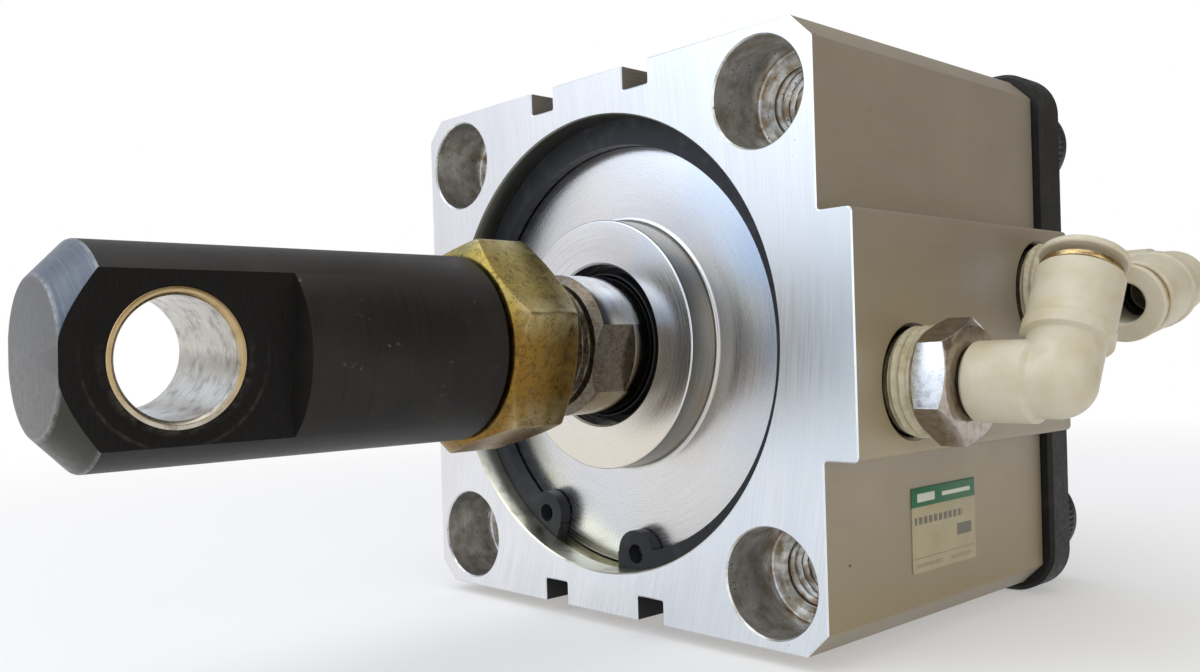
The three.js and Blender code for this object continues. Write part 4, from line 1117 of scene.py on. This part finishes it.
# ------------------------------------------------------------- elbow fittings
def fitting(prefix, py, pz, leg, turn):
    at = (0, py, pz)
    R = 17 / math.sqrt(3)
    flat = 17 / 2 - 0.15
    dx = (R - flat) * math.tan(rad(30))
    hexa = prism("hx", [(a, b) for a, b in hexagon(17, turn, 0.35)], 0, 5.6)
    # the prism runs along y with its outline in x, z: turn it to run along x
    co = np.zeros(len(hexa.data.vertices) * 3)
    hexa.data.vertices.foreach_get("co", co)
    co = co.reshape(-1, 3) * 1000
    u, w, s = co[:, 0].copy(), co[:, 2].copy(), co[:, 1] - SHIFT
    new = np.stack([59.2 + s, u + SHIFT, w], 1)
    hexa.data.vertices.foreach_set("co", (new * 0.001).ravel())
    hexa.data.flip_normals()
    hexa.data.update()
    boolean(hexa, turned("hb", [(0, 59.2), (flat, 59.2), (R + 0.01, 59.2 + dx), (R + 0.01, 64.8 - dx), (flat, 64.8), (0, 64.8)], 160, "X"), "INTERSECT")
    bevel(hexa, 0.16, 3, 22)
    stem = turned("st", [(2.6, 46), (7.6, 46), (8.2, 47), (8.25, 59.7), (7.0, 59.7), (7.0, 64.7), (4.0, 64.7), (4.0, 66.8), (3.1, 66.8), (3.1, 68.8), (4.0, 68.8), (4.0, 70.6), (4.45, 71.0), (4.45, 71.6), (3.9, 72.2), (2.6, 72.2)], 96, "X", True)
    fb = joined(f"{prefix}_fitting_hex", hexa, stem)
    moved(fb, at=at)
    shade(fb, 24)
    dress(fb, "nickel", "nickel_painted_highlight")
    # Painted highlight: the hex facets facing the front get the brighter bluish nickel.
    pick(fb, lambda x, y, z, n: 1 if 59.4 < x < 64.6 and n.y < -0.86 and abs(n.x) < 0.05 and math.hypot(y - py, z - pz) > 8.2 else 0)
    piece(fb, "barrel", "nickel_plate", f"{prefix}_fitting_body")

    def lumps(th, x):
        return 0.05 * np.sin(5 * th + 1.3 * x) * np.sin(3.1 * th + 2.2 * x) + 0.03 * np.sin(13 * th + x)
    se = thread(f"{prefix}_sealed_thread", 8.30, 8.66, 55.32, 58.9, 1.337, 8.27, 144, 14, (0.25, 0.25), "X", at, rough=lambda th, x: lumps(th, x))
    dress(se, "sealant")
    piece(se, "barrel", "thread_sealant", f"{prefix}_thread_sealant")
    oring = turned(f"{prefix}_spigot_ring", rounded([(3.25, 67.1), (4.15, 67.1), (4.15, 68.5), (3.25, 68.5)], 0.4, True, 5), 64, "X", True, at)
    dress(oring, "rubber")
    piece(oring, "barrel", "nitrile_rubber", f"{prefix}_swivel_o_ring")

    T = about_x(-leg)
    c = (77, py, pz)
    rs, rc = 6.05, 5.35
    el = turned("el", [(0, -11.9), *rounded([(0, -11.9), (rs - 0.6, -11.9), (rs, -11.3), (rs, -8)], 0.25, False, 4)[1:-1],
                       *rounded([(rs, -8), (rs, -2.9), (rc, -2.2), (rc, 0)], [0, 0.25, 0.2, 0], False, 4)[1:-1],
                       *[(rc * math.cos(t), rc * math.sin(t)) for t in np.linspace(0, math.pi / 2, 33)[:-1]], (0, rc)], 128, "X")
    leg_prof = [(0, -0.3), (rc - 0.012, -0.3), (rc - 0.012, 5.0), (rc, 5.4), (rc, 5.9), *rounded([(rc, 5.0), (rc, 6.1), (6.3, 6.5), (6.3, 7.4)], 0.2, False, 3)[1:-1],
                *rounded([(6.3, 7.4), (6.3, 8.35), (6.1, 8.6), (6.1, 12)], 0.12, False, 3)[1:-1],
                *rounded([(6.1, 12), (6.1, 17.3), (4.0, 17.3)], 0.45, False, 5)[1:-1], (0, 17.3)]
    boolean(el, turned("lg", leg_prof, 128, "Z"), "UNION")
    bevel(el, 0.22, 3, 34)
    cutter = turned("cz", [(0, 0.2), (2.5, 0.2), (2.5, 4.6), (3.15, 4.6), (3.15, 8.0), (4.95, 8.0), (4.95, 16.9), (5.4, 18), (0, 18)], 96, "Z")
    boolean(el, cutter)
    boolean(el, turned("cx", [(0, -13), (4.35, -13), (4.35, -6.7), (4.85, -6.4), (4.85, -4.4), (2.5, -4.4), (2.5, 1.2), (0, 1.2)], 96, "X"))
    el.name = f"{prefix}_elbow_shell"
    moved(el, T, c)
    shade(el, 34)
    dress(el, "ivory")
    sw = f"{prefix}_swivel"
    piece(el, sw, "ivory_resin", f"{prefix}_elbow")
    for name, node, prof, mt, sl, bd in (
        ("tube_lip_seal", "tube_seal", rounded([(3.25, 8.3), (4.75, 8.3), (4.75, 10.4), (3.25, 10.4)], 0.3, True, 4), "rubber", "nitrile_rubber", sw),
        ("grip_collet", "collet", rounded([(3.35, 10.9), (4.75, 10.7), (4.75, 11.7), (3.7, 11.9)], 0.1, True, 3), "plain_steel", "plain_steel", sw),
        ("tube_guide", "guide_ring", rounded([(4.15, 13.2), (4.8, 13.2), (4.8, 17.45), (5.75, 17.45), (5.75, 18.3), (4.15, 18.3)], 0.12, True, 3), "guide_gold", "nickel_plate", sw),
        ("push_sleeve", "release_sleeve", rounded([(3.15, 13.4), (3.95, 13.4), (3.95, 19.5), (6.15, 19.5), (6.15, 20.6), (3.45, 20.6), (3.15, 20.2)],
                                                  [0.1, 0.1, 0.1, 0.35, 0.4, 0.2, 0.2], True, 5), "ivory", "ivory_resin", f"{prefix}_sleeve"),
    ):
        o = turned(f"{prefix}_{name}", prof, 96, "Z", True)
        moved(o, T, c)
        dress(o, mt)
        piece(o, bd, sl, f"{prefix}_{node}")


fitting("front", 16, -7.5, 30, 21.4)
fitting("rear", 60, 7.2, -100, 8)

# ---------------------------------------------------------------------- camera
cam_data = bpy.data.cameras.new("camera")
cam = bpy.data.objects.new("camera", cam_data)
bpy.context.scene.collection.objects.link(cam)
bpy.context.scene.camera = cam
yaw, pitch, roll = rad(-48.1511), rad(-0.4481), rad(-1.7709)
fw = Vector((math.sin(yaw) * math.cos(pitch), math.cos(yaw) * math.cos(pitch), math.sin(pitch)))
right = Vector((math.cos(yaw), -math.sin(yaw), 0))
up = right.cross(fw)
r = right * math.cos(roll) + up * math.sin(roll)
u = -right * math.sin(roll) + up * math.cos(roll)
cam.matrix_world = Matrix(((r.x, u.x, -fw.x, 0.143603), (r.y, u.y, -fw.y, -0.217085), (r.z, u.z, -fw.z, -0.001766), (0, 0, 0, 1)))
cam_data.sensor_width = 36.0
cam_data.lens = 1084.664 / 1200 * 36.0
cam_data.shift_x = (600 - 559.283) / 1200
cam_data.shift_y = (364.278 - 336) / 1200
cam_data.clip_start, cam_data.clip_end = 0.005, 50

# ------------------------------------------------------------ floor and lights
bm = bmesh.new()
bmesh.ops.create_circle(bm, cap_ends=True, segments=96, radius=6.0)
me = bpy.data.meshes.new("floor")
bm.to_mesh(me)
bm.free()
floor = bpy.data.objects.new("floor", me)
floor.location = (0, 0, -0.0512)
bpy.context.scene.collection.objects.link(floor)
fm = bpy.data.materials.new("floor")
fm.use_nodes = True
t = fm.node_tree
t.nodes.clear()
o = t.nodes.new("ShaderNodeOutputMaterial")
mixs = t.nodes.new("ShaderNodeMixShader")
dif = t.nodes.new("ShaderNodeBsdfDiffuse")
emi = t.nodes.new("ShaderNodeEmission")
dif.inputs[0].default_value = (0.86, 0.86, 0.86, 1)
emi.inputs[0].default_value = (1, 1, 1, 1)
emi.inputs[1].default_value = 1.0
tc = t.nodes.new("ShaderNodeTexCoord")
ln = t.nodes.new("ShaderNodeVectorMath")
ln.operation = "LENGTH"
mr = t.nodes.new("ShaderNodeMapRange")
mr.interpolation_type = "SMOOTHSTEP"
for i, v in zip((1, 2, 3, 4), (0.10, 0.55, 0.35, 1.0)):
    mr.inputs[i].default_value = v
t.links.new(tc.outputs["Object"], ln.inputs[0])
t.links.new(ln.outputs["Value"], mr.inputs[0])
t.links.new(mr.outputs[0], mixs.inputs[0])
t.links.new(dif.outputs[0], mixs.inputs[1])
t.links.new(emi.outputs[0], mixs.inputs[2])
t.links.new(mixs.outputs[0], o.inputs[0])
me.materials.append(fm)

world = bpy.data.worlds.new("world")
bpy.context.scene.world = world
world.use_nodes = True
t = world.node_tree
t.nodes.clear()
o = t.nodes.new("ShaderNodeOutputWorld")
bg = t.nodes.new("ShaderNodeBackground")
lp = t.nodes.new("ShaderNodeLightPath")
bgc = t.nodes.new("ShaderNodeBackground")
mixw = t.nodes.new("ShaderNodeMixShader")
tc = t.nodes.new("ShaderNodeTexCoord")
dot = t.nodes.new("ShaderNodeVectorMath")
dot.operation = "DOT_PRODUCT"
dot.inputs[1].default_value = Vector((-0.62, -0.70, 0.35)).normalized()
rp = t.nodes.new("ShaderNodeValToRGB")
mr = t.nodes.new("ShaderNodeMapRange")
for i, v in zip((1, 2, 3, 4), (-1, 1, 0, 1)):
    mr.inputs[i].default_value = v
e = rp.color_ramp.elements
stops = [(0.0, (0.30, 0.255, 0.205)), (0.30, (0.36, 0.32, 0.275)), (0.55, (0.62, 0.61, 0.60)), (0.78, (1.02, 1.08, 1.18)), (1.0, (1.30, 1.36, 1.46))]
while len(e) < len(stops):
    e.new(0.5)
for i, (p, c) in enumerate(stops):
    e[i].position = p
    e[i].color = (*c, 1)
t.links.new(tc.outputs["Generated"], dot.inputs[0])
t.links.new(dot.outputs["Value"], mr.inputs[0])
t.links.new(mr.outputs[0], rp.inputs[0])
cl = t.nodes.new("ShaderNodeTexNoise")
cl.inputs["Scale"].default_value = 1.7
cl.inputs["Detail"].default_value = 2.0
t.links.new(tc.outputs["Generated"], cl.inputs["Vector"])
cr = t.nodes.new("ShaderNodeValToRGB")
e = cr.color_ramp.elements
tones = [(0.34, (0.60, 0.54, 0.48)), (0.48, (0.98, 0.97, 0.97)), (0.64, (1.14, 1.25, 1.40))]
while len(e) < len(tones):
    e.new(0.5)
for i, (p, c) in enumerate(tones):
    e[i].position = p
    e[i].color = (*c, 1)
t.links.new(cl.outputs[0], cr.inputs[0])
mu = t.nodes.new("ShaderNodeVectorMath")
mu.operation = "MULTIPLY"
t.links.new(rp.outputs[0], mu.inputs[0])
t.links.new(cr.outputs[0], mu.inputs[1])
t.links.new(mu.outputs[0], bg.inputs[0])
bg.inputs[1].default_value = 0.80
bgc.inputs[0].default_value = (1, 1, 1, 1)
t.links.new(lp.outputs["Is Camera Ray"], mixw.inputs[0])
t.links.new(bg.outputs[0], mixw.inputs[1])
t.links.new(bgc.outputs[0], mixw.inputs[2])
t.links.new(mixw.outputs[0], o.inputs[0])


def softbox(name, at, aim, size, power, colour=(1, 1, 1)):
    d = bpy.data.lights.new(name, "AREA")
    d.shape, d.size, d.size_y, d.energy, d.color = "RECTANGLE", size[0], size[1], power, colour
    ob = bpy.data.objects.new(name, d)
    bpy.context.scene.collection.objects.link(ob)
    ob.location = at
    ob.rotation_mode = "QUATERNION"
    ob.rotation_quaternion = (Vector(aim) - Vector(at)).to_track_quat("-Z", "Y")
    return ob


softbox("key", (-0.25, -0.95, 0.75), (0, -0.06, 0), (1.0, 1.0), 3.9, (0.93, 0.97, 1.0))
softbox("top", (0.05, -0.15, 0.9), (0, -0.06, 0), (0.9, 0.9), 3.0, (1.0, 0.98, 0.95))
softbox("fill", (0.8, -0.35, 0.25), (0.02, -0.06, 0), (0.5, 0.7), 1.6, (1.0, 0.94, 0.85))

sc = bpy.context.scene
sc.view_settings.view_transform = "Standard"
sc.view_settings.look = "None"
sc.view_settings.exposure = 0.0
